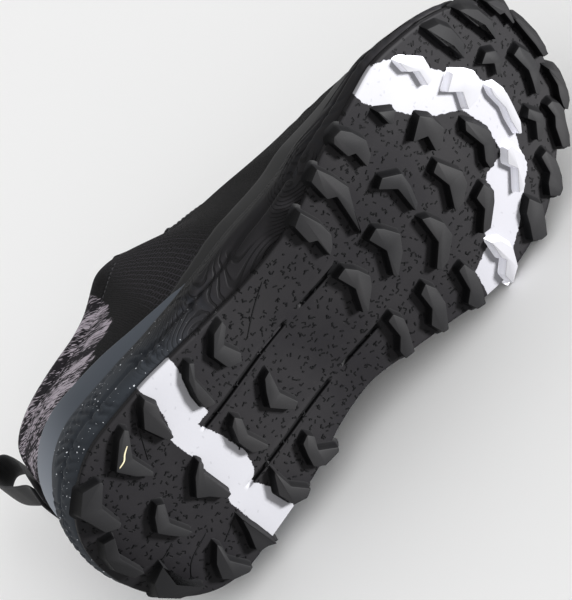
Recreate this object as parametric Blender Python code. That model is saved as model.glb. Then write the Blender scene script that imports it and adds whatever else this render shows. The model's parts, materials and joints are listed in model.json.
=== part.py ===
"""Trail running shoe for the left foot, lying on its outer side.

Every piece is worked out in the shoe's own frame first: x runs forward from the back of the heel,
y towards the outer side of the foot, and z up from the ground that the lugs would stand on. The last
step lays the finished shoe on its outer side. Lengths are in metres, and the tables hold shares of
the named sizes.
"""
import math

import bmesh
import bpy
import numpy as np
from mathutils import Matrix, Vector

# Sizes of the sole
LENGTH = 0.290
BALL_WIDTH = 0.114
WAIST_WIDTH = 0.080
HEEL_WIDTH = 0.098
HEEL_ROUND = 0.045
TOE_ROUND = 0.065
TOE_SKEW = 0.004
TOE_SPRING = 0.024
HEEL_BEVEL = 0.008
ARCH_RISE = 0.003
LUG_HEIGHT = 0.005
LUG_DRAFT = 0.0011
RUBBER = 0.0026
GROOVE_WIDTH = 0.0017
GROOVE_DEPTH = 0.0014
HEEL_STACK = 0.038
BALL_STACK = 0.027
ARCH_FLARE = 0.008
ARCH_RIB = 0.0026
SIDE_STEP = 0.0022
TOE_TUCK = 0.0028

# Sizes of the upper
WALL = 0.0020
OVERLAY = 0.0009
COLLAR_PAD = 0.0040
RIM = 0.0034
INSTEP_HEIGHT = 0.121
THROAT_HEIGHT = 0.0795
COLLAR_HEIGHT = 0.100
COLLAR_WIDTH = 0.072
THROAT_GAP = 0.030
EYELET = 0.0042
EYELET_PAIRS = 6
GUARD = 0.0016

# Sizes of the small pieces
TONGUE = 0.0042
TONGUE_RISE = 0.036
TONGUE_LEAN = math.radians(38.0)
INSOLE = 0.0040
INSOLE_CUP = 0.0050
INSOLE_ROOM = 0.0008
INSOLE_BEVEL = 0.006
LACE_WIDTH = 0.0052
LACE_THICKNESS = 0.0018
LOOP_WIDTH = 0.016
LOOP_HEIGHT = 0.033
LOOP_DEPTH = 0.012
LOOP_THICKNESS = 0.0014
GAP = 0.0003

# How finely the curved pieces are cut into faces
STATIONS = 30
ROWS_UP_THE_WALL = (0.0, 0.10, 0.21, 0.34, 0.48, 0.62, 0.76, 0.79, 0.90, 1.0)


def table(columns, rows):
    """Name the columns of a table, so that each can be read on its own."""
    names = columns.split()
    return {name: [row[place] for row in rows] for place, name in enumerate(names)}


# Sole outline: half widths at shares of the length, each a share of the width that it follows
OUTLINE = table("along follows medial lateral", (
    (0.00, "heel", 0.50, 0.50),
    (0.10, "heel", 0.51, 0.495),
    (0.17, "heel", 0.51, 0.485),
    (0.24, "heel", 0.505, 0.47),
    (0.31, "heel", 0.475, 0.45),
    (0.38, "waist", 0.53, 0.50),
    (0.45, "waist", 0.50, 0.478),
    (0.52, "waist", 0.515, 0.53),
    (0.59, "ball", 0.395, 0.425),
    (0.655, "ball", 0.458, 0.480),
    (0.724, "ball", 0.487, 0.508),
    (0.793, "ball", 0.500, 0.508),
    (0.862, "ball", 0.478, 0.489),
    (1.00, "ball", 0.45, 0.45),
))

# Top of the midsole above the ground, without the toe spring
STACK = table("along follows height", (
    (0.00, "heel", 1.06),
    (0.12, "heel", 1.00),
    (0.28, "heel", 0.96),
    (0.45, "heel", 0.99),
    (0.58, "heel", 0.87),
    (0.72, "ball", 1.00),
    (0.80, "ball", 0.86),
    (0.87, "ball", 0.67),
    (0.94, "ball", 0.54),
    (1.00, "ball", 0.38),
))

# Side of the midsole from its lower to its upper edge: two steps and a soft belly
SIDE = table("height outset", (
    (0.00, -0.3),
    (0.07, 0.35),
    (0.30, 1.0),
    (0.36, 0.45),
    (0.44, 0.9),
    (0.72, 0.5),
    (0.78, -0.15),
    (1.00, -1.0),
))

# Edge of the opening: turn 0 is the back of the heel and turn 1 the front end of the throat
OPENING = table("turn along side height", (
    (0.00, 0.030, 0.00, 1.020),
    (0.10, 0.052, 0.52, 1.015),
    (0.20, 0.120, 0.86, 0.980),
    (0.30, 0.210, 0.98, 0.960),
    (0.40, 0.297, 1.00, 1.040),
    (0.48, 0.358, 0.88, 1.170),
))
THROAT = table("turn along side height", (
    (0.54, 0.405, 1.30, 1.000),
    (0.62, 0.478, 1.02, 0.800),
    (0.72, 0.560, 0.86, 0.510),
    (0.82, 0.632, 0.72, 0.270),
    (0.90, 0.680, 0.56, 0.110),
    (0.96, 0.700, 0.30, 0.025),
    (1.00, 0.706, 0.00, 0.000),
))

# Belly of the upper's wall: handles of its profile at the sole and at the opening
PROFILE = table("turn rise belly reach drop", (
    (0.00, 0.24, 0.020, 0.030, 0.22),
    (0.10, 0.24, 0.025, 0.040, 0.22),
    (0.20, 0.25, 0.030, 0.050, 0.22),
    (0.30, 0.26, 0.030, 0.040, 0.22),
    (0.40, 0.26, 0.020, 0.060, 0.22),
    (0.50, 0.26, 0.000, 0.150, 0.15),
    (0.60, 0.24, -0.020, 0.200, 0.10),
    (0.70, 0.20, -0.040, 0.240, 0.10),
    (0.80, 0.19, -0.050, 0.300, 0.09),
    (0.90, 0.22, -0.050, 0.380, 0.08),
    (1.00, 0.25, -0.030, 0.440, 0.08),
))

# Shapes of the lugs' tips, as shares of length towards the toe and width towards the outer side
LUG_SHAPES = {
    "centre": ((-0.15, -0.47), (0.49, -0.14), (-0.18, 0.50), (-0.45, 0.46), (-0.11, 0.06), (-0.50, -0.34)),
    "side": ((0.14, -0.47), (0.50, 0.00), (-0.43, 0.50), (-0.50, 0.41), (-0.07, 0.09), (-0.11, -0.36)),
    "outer": ((0.42, -0.46), (0.47, -0.07), (-0.12, 0.50), (-0.50, 0.41), (-0.30, 0.05), (0.10, -0.44)),
    "inner": ((0.32, -0.46), (0.50, 0.10), (-0.20, 0.50), (-0.32, 0.46), (-0.05, 0.10), (-0.50, -0.06),
              (-0.32, -0.45)),
    "tip": ((0.10, -0.50), (0.50, -0.10), (0.20, 0.50), (-0.40, 0.46), (-0.20, 0.05), (-0.50, -0.40)),
    "vee": ((0.50, -0.43), (0.16, 0.12), (0.33, 0.48), (-0.05, 0.46), (-0.47, 0.03), (0.20, -0.48)),
    "vee_outer": ((0.33, -0.48), (0.14, -0.10), (0.50, 0.45), (0.16, 0.50), (-0.47, 0.02), (-0.05, -0.46)),
}

# Lugs from toe to heel: place as shares of length and ball width, size as shares of the ball width
LUGS = (
    ("tip", 0.975, -0.150, 0.055, 0.165),
    ("tip", 0.979, 0.035, 0.055, 0.200),
    ("outer", 0.952, 0.235, 0.105, 0.190),
    ("inner", 0.944, -0.222, 0.075, 0.205),
    ("centre", 0.938, 0.055, 0.105, 0.240),
    ("outer", 0.912, 0.330, 0.120, 0.220),
    ("inner", 0.896, -0.310, 0.090, 0.205),
    ("centre", 0.914, -0.090, 0.085, 0.150),
    ("side", 0.884, 0.190, 0.105, 0.165),
    ("outer", 0.848, 0.395, 0.135, 0.210),
    ("inner", 0.850, -0.410, 0.070, 0.140),
    ("centre", 0.846, -0.200, 0.090, 0.180),
    ("centre", 0.866, 0.030, 0.095, 0.160),
    ("side", 0.838, 0.235, 0.130, 0.150),
    ("side", 0.808, 0.030, 0.135, 0.230),
    ("outer", 0.778, 0.435, 0.115, 0.205),
    ("inner", 0.770, -0.415, 0.080, 0.165),
    ("centre", 0.776, -0.180, 0.110, 0.175),
    ("side", 0.738, 0.000, 0.125, 0.220),
    ("side", 0.745, 0.222, 0.150, 0.165),
    ("outer", 0.700, 0.425, 0.105, 0.175),
    ("inner", 0.698, -0.395, 0.105, 0.205),
    ("centre", 0.696, -0.130, 0.110, 0.240),
    ("side", 0.662, 0.120, 0.150, 0.200),
    ("outer", 0.644, 0.388, 0.105, 0.190),
    ("inner", 0.630, -0.300, 0.110, 0.300),
    ("side", 0.612, -0.012, 0.130, 0.210),
    ("outer", 0.586, 0.320, 0.125, 0.210),
    ("inner", 0.570, -0.280, 0.105, 0.210),
    ("side", 0.537, -0.005, 0.165, 0.225),
    ("outer", 0.530, 0.275, 0.120, 0.200),
    ("vee", 0.367, -0.262, 0.120, 0.175),
    ("vee", 0.350, 0.037, 0.130, 0.245),
    ("vee_outer", 0.318, 0.305, 0.140, 0.180),
    ("vee", 0.306, -0.268, 0.130, 0.235),
    ("vee", 0.277, 0.036, 0.110, 0.235),
    ("vee_outer", 0.256, 0.310, 0.090, 0.185),
    ("vee", 0.220, -0.305, 0.115, 0.200),
    ("vee", 0.187, 0.042, 0.125, 0.230),
    ("vee_outer", 0.166, 0.305, 0.105, 0.210),
    ("vee", 0.159, -0.265, 0.130, 0.215),
    ("vee", 0.107, 0.010, 0.130, 0.235),
    ("vee_outer", 0.106, 0.300, 0.125, 0.190),
    ("vee", 0.076, -0.235, 0.150, 0.215),
    ("vee", 0.044, -0.030, 0.110, 0.220),
    ("vee_outer", 0.046, 0.195, 0.120, 0.200),
)

# Straight slits along the middle of the tread: ends as shares of length, side as a share of ball width
GROOVES = table("back front side", (
    (0.248, 0.440, -0.120),
    (0.475, 0.552, -0.120),
    (0.225, 0.418, 0.190),
    (0.450, 0.524, 0.190),
))


def through(places, values):
    """Give a smooth function through the rows of a table that never overshoots them."""
    x = np.array(places, float)
    y = np.array(values, float)
    step = np.diff(x)
    slope = np.diff(y) / step
    tangent = np.zeros(len(x))
    tangent[0] = slope[0]
    tangent[-1] = slope[-1]
    for i in range(1, len(x) - 1):
        if slope[i - 1] * slope[i] > 0.0:
            before = 2.0 * step[i] + step[i - 1]
            after = step[i] + 2.0 * step[i - 1]
            tangent[i] = (before + after) / (before / slope[i - 1] + after / slope[i])

    def value(at):
        at = min(max(at, x[0]), x[-1])
        i = min(int(np.searchsorted(x, at, side="right")) - 1, len(step) - 1)
        t = (at - x[i]) / step[i]
        return float(
            y[i] * (1 + 2 * t) * (1 - t) ** 2
            + tangent[i] * step[i] * t * (1 - t) ** 2
            + y[i + 1] * t * t * (3 - 2 * t)
            + tangent[i + 1] * step[i] * t * t * (t - 1)
        )

    return value


def bump(at, low, high):
    """Rise softly from 0 at low to 1 midway and back to 0 at high."""
    share = min(max((at - low) / (high - low), 0.0), 1.0)
    return math.sin(math.pi * share) ** 2


def ease(share):
    """Go softly from 0 to 1."""
    share = min(max(share, 0.0), 1.0)
    return share * share * (3.0 - 2.0 * share)


FOLLOWS = {"heel": HEEL_WIDTH, "waist": WAIST_WIDTH, "ball": BALL_WIDTH}
STACKS = {"heel": HEEL_STACK, "ball": BALL_STACK}
medial_half = through(
    OUTLINE["along"], [FOLLOWS[key] * share for key, share in zip(OUTLINE["follows"], OUTLINE["medial"])])
lateral_half = through(
    OUTLINE["along"], [FOLLOWS[key] * share for key, share in zip(OUTLINE["follows"], OUTLINE["lateral"])])
stack_above_ground = through(
    STACK["along"], [STACKS[key] * share for key, share in zip(STACK["follows"], STACK["height"])])
side_outset = through(SIDE["height"], SIDE["outset"])


# Ground line and levels of the sole

SPRING_START = 0.64
BEVEL_END = 0.097
ARCH_BACK = 0.26
ARCH_FRONT = 0.57


def toe_lift(x):
    """Height that the toe spring adds."""
    return TOE_SPRING * max((x / LENGTH - SPRING_START) / (1.0 - SPRING_START), 0.0) ** 2


def tread_level(x):
    """Height of the lugs' tips."""
    bevel = max((BEVEL_END - x / LENGTH) / BEVEL_END, 0.0) ** 2
    return toe_lift(x) + HEEL_BEVEL * bevel + ARCH_RISE * bump(x / LENGTH, ARCH_BACK, ARCH_FRONT)


def plate_level(x):
    """Height of the rubber between the lugs."""
    return tread_level(x) + LUG_HEIGHT


def midsole_top(x):
    """Height of the midsole's upper edge."""
    return toe_lift(x) + stack_above_ground(x / LENGTH)


# Outline of the sole

def outline_point(turn, side):
    """Point on the sole's outline: side is 1 for lateral and -1 for medial."""
    x = LENGTH * (1.0 - math.cos(math.pi * turn)) / 2.0
    half = (lateral_half if side > 0 else medial_half)(x / LENGTH)
    back = min(x / HEEL_ROUND, 1.0)
    front = min((LENGTH - x) / TOE_ROUND, 1.0)
    half *= math.sqrt(max(1.0 - (1.0 - back) ** 2, 0.0)) * math.sqrt(max(1.0 - (1.0 - front) ** 2, 0.0))
    skew = -TOE_SKEW * ease((x - 0.7 * LENGTH) / (0.3 * LENGTH))
    return np.array((x, skew + side * half))


def outward(turn, side):
    """Unit vector in the ground plane, square to the outline and pointing out."""
    if turn <= 0.0:
        return np.array((-1.0, 0.0))
    if turn >= 1.0:
        return np.array((1.0, 0.0))
    small = 0.004
    along = outline_point(min(turn + small, 1.0), side) - outline_point(max(turn - small, 0.0), side)
    along /= np.linalg.norm(along)
    return np.array((-along[1], along[0])) * side


def ring_of_turns():
    """Turns and sides once round the shoe: heel, lateral side, toe, medial side."""
    turns = [i / STATIONS for i in range(STATIONS + 1)]
    lateral = [(turn, 1) for turn in turns]
    medial = [(turn, -1) for turn in reversed(turns[1:-1])]
    return lateral + medial


def offset_point(turn, side, outset):
    """Point of the outline, moved out by outset."""
    return outline_point(turn, side) + outward(turn, side) * outset


def arch_flare(turn, side):
    """How far the midsole's upper part stands out over the rubber at the waist."""
    x = outline_point(turn, side)[0] / LENGTH
    share = 1.0 if side < 0 else 0.4
    return ARCH_FLARE * share * bump(x, 0.24, 0.72)


def arch_rib(turn, side, height):
    """Rounded rib along the lower edge of the medial arch."""
    if side > 0:
        return 0.0
    x = outline_point(turn, side)[0] / LENGTH
    return ARCH_RIB * bump(x, 0.44, 0.70) * bump(height, 0.0, 0.34)


def midsole_outset(turn, side, height):
    """How far the midsole's side stands out from the sole's outline."""
    out = SIDE_STEP * side_outset(height)
    out += arch_flare(turn, side) * ease(height / 0.6)
    out -= TOE_TUCK * height * ease((outline_point(turn, side)[0] / LENGTH - 0.6) / 0.25)
    return out + arch_rib(turn, side, height)


# Making meshes

def new_object(name, vertices, faces, colour, roughness, metallic=0.0):
    """Make one closed piece with its own material."""
    mesh = bpy.data.meshes.new(name)
    work = bmesh.new()
    points = [work.verts.new(tuple(float(value) for value in point)) for point in vertices]
    for face in faces:
        work.faces.new([points[i] for i in face])
    bmesh.ops.recalc_face_normals(work, faces=work.faces)
    work.to_mesh(mesh)
    work.free()
    piece = bpy.data.objects.new(name, mesh)
    bpy.context.scene.collection.objects.link(piece)
    mesh.materials.append(make_material(name, colour, roughness, metallic))
    return piece


def make_material(name, colour, roughness, metallic):
    """Plain surface of one piece."""
    material = bpy.data.materials.new(name + "_surface")
    material.use_nodes = True
    shader = material.node_tree.nodes["Principled BSDF"]
    shader.inputs["Base Color"].default_value = (*colour, 1.0)
    shader.inputs["Roughness"].default_value = roughness
    shader.inputs["Metallic"].default_value = metallic
    return material


def ring_walls(rings):
    """Quads between rings that have the same number of points."""
    size = len(rings[0])
    faces = []
    for level in range(len(rings) - 1):
        for i in range(size):
            j = (i + 1) % size
            faces.append((level * size + i, level * size + j, (level + 1) * size + j, (level + 1) * size + i))
    return faces


def ladder(start):
    """Faces that close a ring of stations from the heel to the toe, rung by rung."""
    size = 2 * STATIONS
    faces = [(start, start + 1, start + size - 1)]
    for i in range(1, STATIONS - 1):
        faces.append((start + i, start + i + 1, start + size - i - 1, start + size - i))
    faces.append((start + STATIONS - 1, start + STATIONS, start + STATIONS + 1))
    return faces


def stacked_rings(name, rings, colour, roughness):
    """Solid through rings of points from bottom to top, closed by a ladder at each end."""
    vertices = [point for ring in rings for point in ring]
    faces = ring_walls(rings)
    faces += ladder(0)
    faces += ladder((len(rings) - 1) * len(rings[0]))
    return new_object(name, vertices, faces, colour, roughness)


def merge_solid(target, other, operation):
    """Join another solid to the target, or cut it away, and drop it."""
    step = target.modifiers.new(operation.lower(), "BOOLEAN")
    step.operation = operation
    step.solver = "EXACT"
    step.use_self = True
    step.object = other
    bpy.context.view_layer.update()
    graph = bpy.context.evaluated_depsgraph_get()
    result = bpy.data.meshes.new_from_object(target.evaluated_get(graph))
    target.modifiers.clear()
    target.data = result
    bpy.data.objects.remove(other)


# Outsole: a rubber plate with lugs and four slits

def make_plate():
    """Rubber plate that follows the tread line."""
    rings = []
    for height, outset in ((0.0, -0.0004), (0.25, 0.0), (1.0, 0.0)):
        ring = []
        for turn, side in ring_of_turns():
            x, y = offset_point(turn, side, outset)
            ring.append((x, y, plate_level(outline_point(turn, side)[0]) + RUBBER * height))
        rings.append(ring)
    return stacked_rings("outsole", rings, (0.045, 0.045, 0.047), 0.62)


def lug_corners(kind, along, side, size_along, size_side):
    """Corners of one lug, tip first and then its wider foot."""
    x = along * LENGTH
    y = side * BALL_WIDTH
    long = size_along * BALL_WIDTH
    wide = size_side * BALL_WIDTH
    small = LENGTH / 500.0
    slope = (tread_level(x + small) - tread_level(x - small)) / (2.0 * small)
    corners = []
    for height, draft in ((0.0, 0.0), (LUG_HEIGHT + 0.5 * RUBBER, LUG_DRAFT)):
        for forward, out in LUG_SHAPES[kind]:
            a = forward * (long + 2.0 * draft)
            b = out * (wide + 2.0 * draft)
            corners.append((x + a, y + b, tread_level(x) + slope * a + height))
    return corners


def make_lugs():
    """All lugs as one mesh of closed prisms."""
    vertices = []
    faces = []
    for row in LUGS:
        corners = lug_corners(*row)
        size = len(corners) // 2
        first = len(vertices)
        vertices += corners
        faces.append([first + i for i in range(size)])
        faces.append([first + size + i for i in reversed(range(size))])
        for i in range(size):
            j = (i + 1) % size
            faces.append((first + i, first + j, first + size + j, first + size + i))
    return new_object("lugs", vertices, faces, (0.045, 0.045, 0.047), 0.62)


def make_grooves():
    """Cutters for the straight slits: strips that follow the plate."""
    pieces = 6
    vertices = []
    faces = []
    for back, front, side in zip(GROOVES["back"], GROOVES["front"], GROOVES["side"]):
        first = len(vertices)
        for i in range(pieces + 1):
            x = LENGTH * (back + (front - back) * i / pieces)
            y = side * BALL_WIDTH
            low = plate_level(x) - LUG_HEIGHT
            high = plate_level(x) + GROOVE_DEPTH
            half = GROOVE_WIDTH / 2.0
            vertices += [(x, y - half, low), (x, y + half, low), (x, y + half, high), (x, y - half, high)]
        for i in range(pieces):
            for j in range(4):
                k = (j + 1) % 4
                a = first + 4 * i
                faces.append((a + j, a + k, a + 4 + k, a + 4 + j))
        faces.append((first, first + 1, first + 2, first + 3))
        last = first + 4 * pieces
        faces.append((last + 3, last + 2, last + 1, last))
    return new_object("grooves", vertices, faces, (0.0, 0.0, 0.0), 0.5)


def make_outsole():
    outsole = make_plate()
    merge_solid(outsole, make_lugs(), "UNION")
    merge_solid(outsole, make_grooves(), "DIFFERENCE")
    return outsole


# Midsole

def make_midsole():
    """Foam midsole with a stepped side, a flare over the arch and a flat top."""
    rings = []
    for height in SIDE["height"]:
        ring = []
        for turn, side in ring_of_turns():
            x, y = offset_point(turn, side, midsole_outset(turn, side, height))
            station = outline_point(turn, side)[0]
            low = plate_level(station) + RUBBER + GAP
            high = midsole_top(station)
            ring.append((x, y, low + (high - low) * height))
        rings.append(ring)
    return stacked_rings("midsole", rings, (0.07, 0.08, 0.095), 0.7)


def foot_point(turn, side, inset):
    """Point on the midsole's top, inset from the upper's foot."""
    out = midsole_outset(turn, side, 1.0) - RIM - inset
    x, y = offset_point(turn, side, out)
    return np.array((x, y, midsole_top(outline_point(turn, side)[0]) + GAP))


# Upper: one function gives its outer surface

INSTEP_RISE = INSTEP_HEIGHT - THROAT_HEIGHT
opening_turns = OPENING["turn"] + THROAT["turn"]
opening_along = through(opening_turns, [LENGTH * share for share in OPENING["along"] + THROAT["along"]])
opening_side = through(
    opening_turns,
    [0.5 * COLLAR_WIDTH * share for share in OPENING["side"]]
    + [0.5 * THROAT_GAP * share for share in THROAT["side"]])
opening_height = through(
    opening_turns,
    [COLLAR_HEIGHT * share for share in OPENING["height"]]
    + [THROAT_HEIGHT + INSTEP_RISE * share for share in THROAT["height"]])
profile_rise = through(PROFILE["turn"], PROFILE["rise"])
profile_belly = through(PROFILE["turn"], PROFILE["belly"])
profile_reach = through(PROFILE["turn"], PROFILE["reach"])
profile_drop = through(PROFILE["turn"], PROFILE["drop"])


def opening_point(turn, side):
    """Point on the edge of the collar and throat."""
    return np.array((opening_along(turn), side * opening_side(turn), opening_height(turn)))


def bare_point(turn, side, up):
    """Point on the bare upper: up is 0 at the sole and 1 at the opening."""
    foot = foot_point(turn, side, 0.0)
    edge = opening_point(turn, side)
    out = np.append(outward(turn, side), 0.0)
    away = foot - edge
    away[2] = 0.0
    away /= max(np.linalg.norm(away), 1e-9)
    low = foot + np.array((0.0, 0.0, profile_rise(turn) * COLLAR_HEIGHT))
    low += out * profile_belly(turn) * COLLAR_HEIGHT
    high = edge + away * profile_reach(turn) * COLLAR_HEIGHT
    high -= np.array((0.0, 0.0, profile_drop(turn) * COLLAR_HEIGHT))
    down = 1.0 - up
    return down ** 3 * foot + 3 * down ** 2 * up * low + 3 * down * up ** 2 * high + up ** 3 * edge


def signed_point(place, up):
    """Bare point at a place that runs once round the shoe from -1 to 1."""
    place = (place + 1.0) % 2.0 - 1.0
    return bare_point(abs(place), 1 if place >= 0.0 else -1, up)


def outward_normal(turn, side, up):
    """Unit normal of the bare upper, pointing out of the shoe."""
    small = 0.01
    place = turn * side
    low = max(up - small, 0.0)
    high = min(up + small, 1.0)
    along = signed_point(place + small, up) - signed_point(place - small, up)
    rise = signed_point(place, high) - signed_point(place, low)
    normal = np.cross(rise, along)
    return normal / np.linalg.norm(normal)


def upper_point(turn, side, up, lift):
    """Point off the bare upper by lift along its normal."""
    return bare_point(turn, side, up) + outward_normal(turn, side, up) * lift


def overlay_lift(turn, up):
    """Step of the eyestay round the throat."""
    return OVERLAY if turn > 0.47 and up > 0.78 else 0.0


def collar_pad(turn, up):
    """Padding inside the collar."""
    return COLLAR_PAD * ease((0.52 - turn) / 0.12) * bump(up, 0.45, 1.25)


def make_upper():
    """Hollow shell: outer wall up to the opening, over its rim, and down the inside."""
    rings = []
    for up in ROWS_UP_THE_WALL:
        rings.append([upper_point(turn, side, up, overlay_lift(turn, up)) for turn, side in ring_of_turns()])
    rim = []
    for turn, side in ring_of_turns():
        thick = WALL + collar_pad(turn, 1.0)
        middle = upper_point(turn, side, 1.0, -0.5 * thick)
        tip = bare_point(turn, side, 1.0) - bare_point(turn, side, 0.97)
        rim.append(middle + tip / np.linalg.norm(tip) * 0.5 * thick)
    rings.append(rim)
    for up in reversed(ROWS_UP_THE_WALL):
        rings.append(
            [upper_point(turn, side, up, -WALL - collar_pad(turn, up)) for turn, side in ring_of_turns()])
    for ring in (rings[0], rings[-1]):
        for place, (turn, side) in enumerate(ring_of_turns()):
            ring[place][2] = foot_point(turn, side, 0.0)[2]
    vertices = [point for ring in rings for point in ring]
    faces = ring_walls(rings + [rings[0]])
    wrap = len(vertices)
    faces = [tuple(i % wrap for i in face) for face in faces]
    upper = new_object("upper", vertices, faces, (0.05, 0.05, 0.055), 0.85)
    merge_solid(upper, make_eyelet_cutters(), "DIFFERENCE")
    return upper


EYELET_UP = 0.92
EYELET_FIRST = 0.575
EYELET_LAST = 0.90


def eyelet_turns():
    """Turns of the eyelets from the ankle to the toe."""
    step = (EYELET_LAST - EYELET_FIRST) / (EYELET_PAIRS - 1)
    return [EYELET_FIRST + step * i for i in range(EYELET_PAIRS)]


def make_eyelet_cutters():
    """Round bars through the eyestay, square to it."""
    corners = 8
    vertices = []
    faces = []
    for turn in eyelet_turns():
        for side in (1, -1):
            centre = bare_point(turn, side, EYELET_UP)
            axis = Vector(outward_normal(turn, side, EYELET_UP))
            across = axis.orthogonal().normalized()
            beside = axis.cross(across)
            first = len(vertices)
            for lift in (-2.0 * WALL, OVERLAY + WALL):
                for i in range(corners):
                    angle = 2.0 * math.pi * i / corners
                    spoke = (across * math.cos(angle) + beside * math.sin(angle)) * EYELET / 2.0
                    vertices.append(Vector(centre) + axis * lift + spoke)
            faces.append([first + i for i in range(corners)])
            faces.append([first + corners + i for i in reversed(range(corners))])
            for i in range(corners):
                j = (i + 1) % corners
                faces.append((first + i, first + j, first + corners + j, first + corners + i))
    return new_object("eyelet_cutters", vertices, faces, (0.0, 0.0, 0.0), 0.5)


# Insole: it follows the inside of the upper's wall

def wall_inset(turn, side, height):
    """How far the inside of the wall stands in from the upper's foot at a height above it."""
    foot = foot_point(turn, side, 0.0)
    out = outward(turn, side)
    heights = []
    insets = []
    for up in ROWS_UP_THE_WALL[:5]:
        inside = upper_point(turn, side, up, -WALL)
        heights.append(inside[2] - foot[2])
        insets.append(-float((inside[:2] - foot[:2]) @ out))
    return float(np.interp(height, heights, insets))


def make_insole():
    """Insole with a raised rim round the heel."""
    rings = []
    for height, inset in ((0.0, 0.0), (1.0, 0.0), (1.0, INSOLE_BEVEL)):
        ring = []
        for turn, side in ring_of_turns():
            cup = INSOLE_CUP * ease((0.55 - turn) / 0.25) if height > 0.0 and inset == 0.0 else 0.0
            lift = INSOLE * height + cup
            room = max(wall_inset(turn, side, 0.0), wall_inset(turn, side, lift)) + INSOLE_ROOM
            point = foot_point(turn, side, room + inset)
            ring.append((point[0], point[1], point[2] + lift))
        rings.append(ring)
    return stacked_rings("insole", rings, (0.05, 0.05, 0.055), 0.85)


# Overlays that stand on the upper's wall

def make_shell(name, places, top_of, colour, roughness):
    """Thin shell over the upper between the sole and a shaped upper edge."""
    rows = 5
    grids = []
    for lift in (2.0 * GAP, 2.0 * GAP + GUARD):
        grid = []
        for place in places:
            turn = abs(place)
            side = 1 if place >= 0.0 else -1
            column = []
            for row in range(rows):
                point = upper_point(turn, side, top_of(turn, side) * row / (rows - 1), lift)
                if row == 0:
                    point[2] = foot_point(turn, side, 0.0)[2]
                column.append(point)
            grid.append(column)
        grids.append(grid)
    size = len(places) * rows
    vertices = [point for grid in grids for column in grid for point in column]
    faces = []
    for i in range(len(places) - 1):
        for j in range(rows - 1):
            a = i * rows + j
            faces.append((a, a + 1, a + rows + 1, a + rows))
            faces.append((size + a, size + a + rows, size + a + rows + 1, size + a + 1))
    edge = [i * rows for i in range(len(places))]
    edge += [(len(places) - 1) * rows + j for j in range(1, rows)]
    edge += [i * rows + rows - 1 for i in reversed(range(len(places) - 1))]
    edge += [j for j in reversed(range(1, rows - 1))]
    for i, a in enumerate(edge):
        b = edge[(i + 1) % len(edge)]
        faces.append((a, b, size + b, size + a))
    return new_object(name, vertices, faces, colour, roughness)


def make_heel_cradle():
    """Smooth band round the heel that runs out in a point at the waist."""
    reach = 13
    places = [i / STATIONS for i in range(-reach, reach + 1)]
    rise = through((0.0, 0.15, 0.30, 0.45), (0.30, 0.29, 0.24, 0.05))

    def top(turn, side):
        return rise(turn)

    return make_shell("heel_cradle", places, top, (0.13, 0.15, 0.18), 0.45)


def make_toe_guard():
    """Rubbery guard round the toe."""
    reach = 9
    places = [i / STATIONS for i in range(STATIONS - reach, STATIONS + 1)]
    places += [-i / STATIONS for i in reversed(range(STATIONS - reach, STATIONS))]
    rise = through((0.68, 0.78, 0.90, 1.0), (0.07, 0.20, 0.36, 0.42))

    def top(turn, side):
        return rise(turn)

    return make_shell("toe_guard", places, top, (0.02, 0.02, 0.022), 0.4)


# Tongue
# Upper end of the tongue: shares of its rise past the throat and of its width there
TONGUE_TOP = table("rise width", (
    (0.22, 0.84),
    (0.55, 0.80),
    (0.86, 0.76),
    (1.00, 0.60),
))


def make_tongue():
    """Padded tongue under the eyestay, standing up past the collar."""
    first = 16
    last = 28
    rows = (0.85, 0.92, 1.0)
    sections = []
    for station in range(last, first - 1, -1):
        turn = station / STATIONS
        sheet = []
        for depth in (WALL + 2.0 * GAP, WALL + 2.0 * GAP + TONGUE):
            lateral = [upper_point(turn, 1, up, -depth) for up in rows]
            medial = [upper_point(turn, -1, up, -depth) for up in rows]
            crown = 0.5 * (lateral[-1] + medial[-1])
            crown[2] += 0.1 * opening_side(turn)
            sheet.append(medial + [crown] + lateral[::-1])
        sections.append(sheet[0] + sheet[1][::-1])
    lean = np.array((-math.sin(TONGUE_LEAN), 0.0, math.cos(TONGUE_LEAN)))
    top = sections[-1]
    middle = top[3]
    for share, narrow in zip(TONGUE_TOP["rise"], TONGUE_TOP["width"]):
        moved = []
        for point in top:
            shifted = point + lean * TONGUE_RISE * share
            shifted[1] = middle[1] + (point[1] - middle[1]) * narrow
            moved.append(shifted)
        sections.append(moved)
    size = len(sections[0])
    vertices = [point for section in sections for point in section]
    faces = ring_walls(sections)
    for start in (0, (len(sections) - 1) * size):
        half = size // 2
        for i in range(half - 1):
            faces.append((start + i, start + i + 1, start + size - i - 2, start + size - i - 1))
    return new_object("tongue", vertices, faces, (0.035, 0.035, 0.038), 0.85)


# Laces

def lace_points(turn, side):
    """Lace above the eyelet and above the edge of the throat."""
    lift = OVERLAY + 2.0 * GAP + LACE_THICKNESS / 2.0
    return [upper_point(turn, side, EYELET_UP, lift), upper_point(turn, side, 0.985, lift + GAP)]


def lace_strand(start_side):
    """Points of one strand that crosses the throat at every pair of eyelets."""
    points = []
    side = start_side
    turns = eyelet_turns()[::-1]
    for i in range(len(turns) - 1):
        leave = lace_points(turns[i], side)
        arrive = lace_points(turns[i + 1], -side)
        points += leave
        points += arrive[::-1]
        side = -side
    return points


def flat_tube(points):
    """Flat ribbon with six sides along points."""
    sections = []
    for i, point in enumerate(points):
        before = points[max(i - 1, 0)]
        after = points[min(i + 1, len(points) - 1)]
        along = Vector(after - before).normalized()
        across = along.cross(Vector((0.35, 0.0, 1.0))).normalized()
        up = across.cross(along)
        section = []
        for out, high in ((1.0, 0.0), (0.6, 1.0), (-0.6, 1.0), (-1.0, 0.0), (-0.6, -1.0), (0.6, -1.0)):
            offset = across * out * LACE_WIDTH / 2.0 + up * high * LACE_THICKNESS / 2.0
            section.append(Vector(point) + offset)
        sections.append(section)
    return sections


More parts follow.
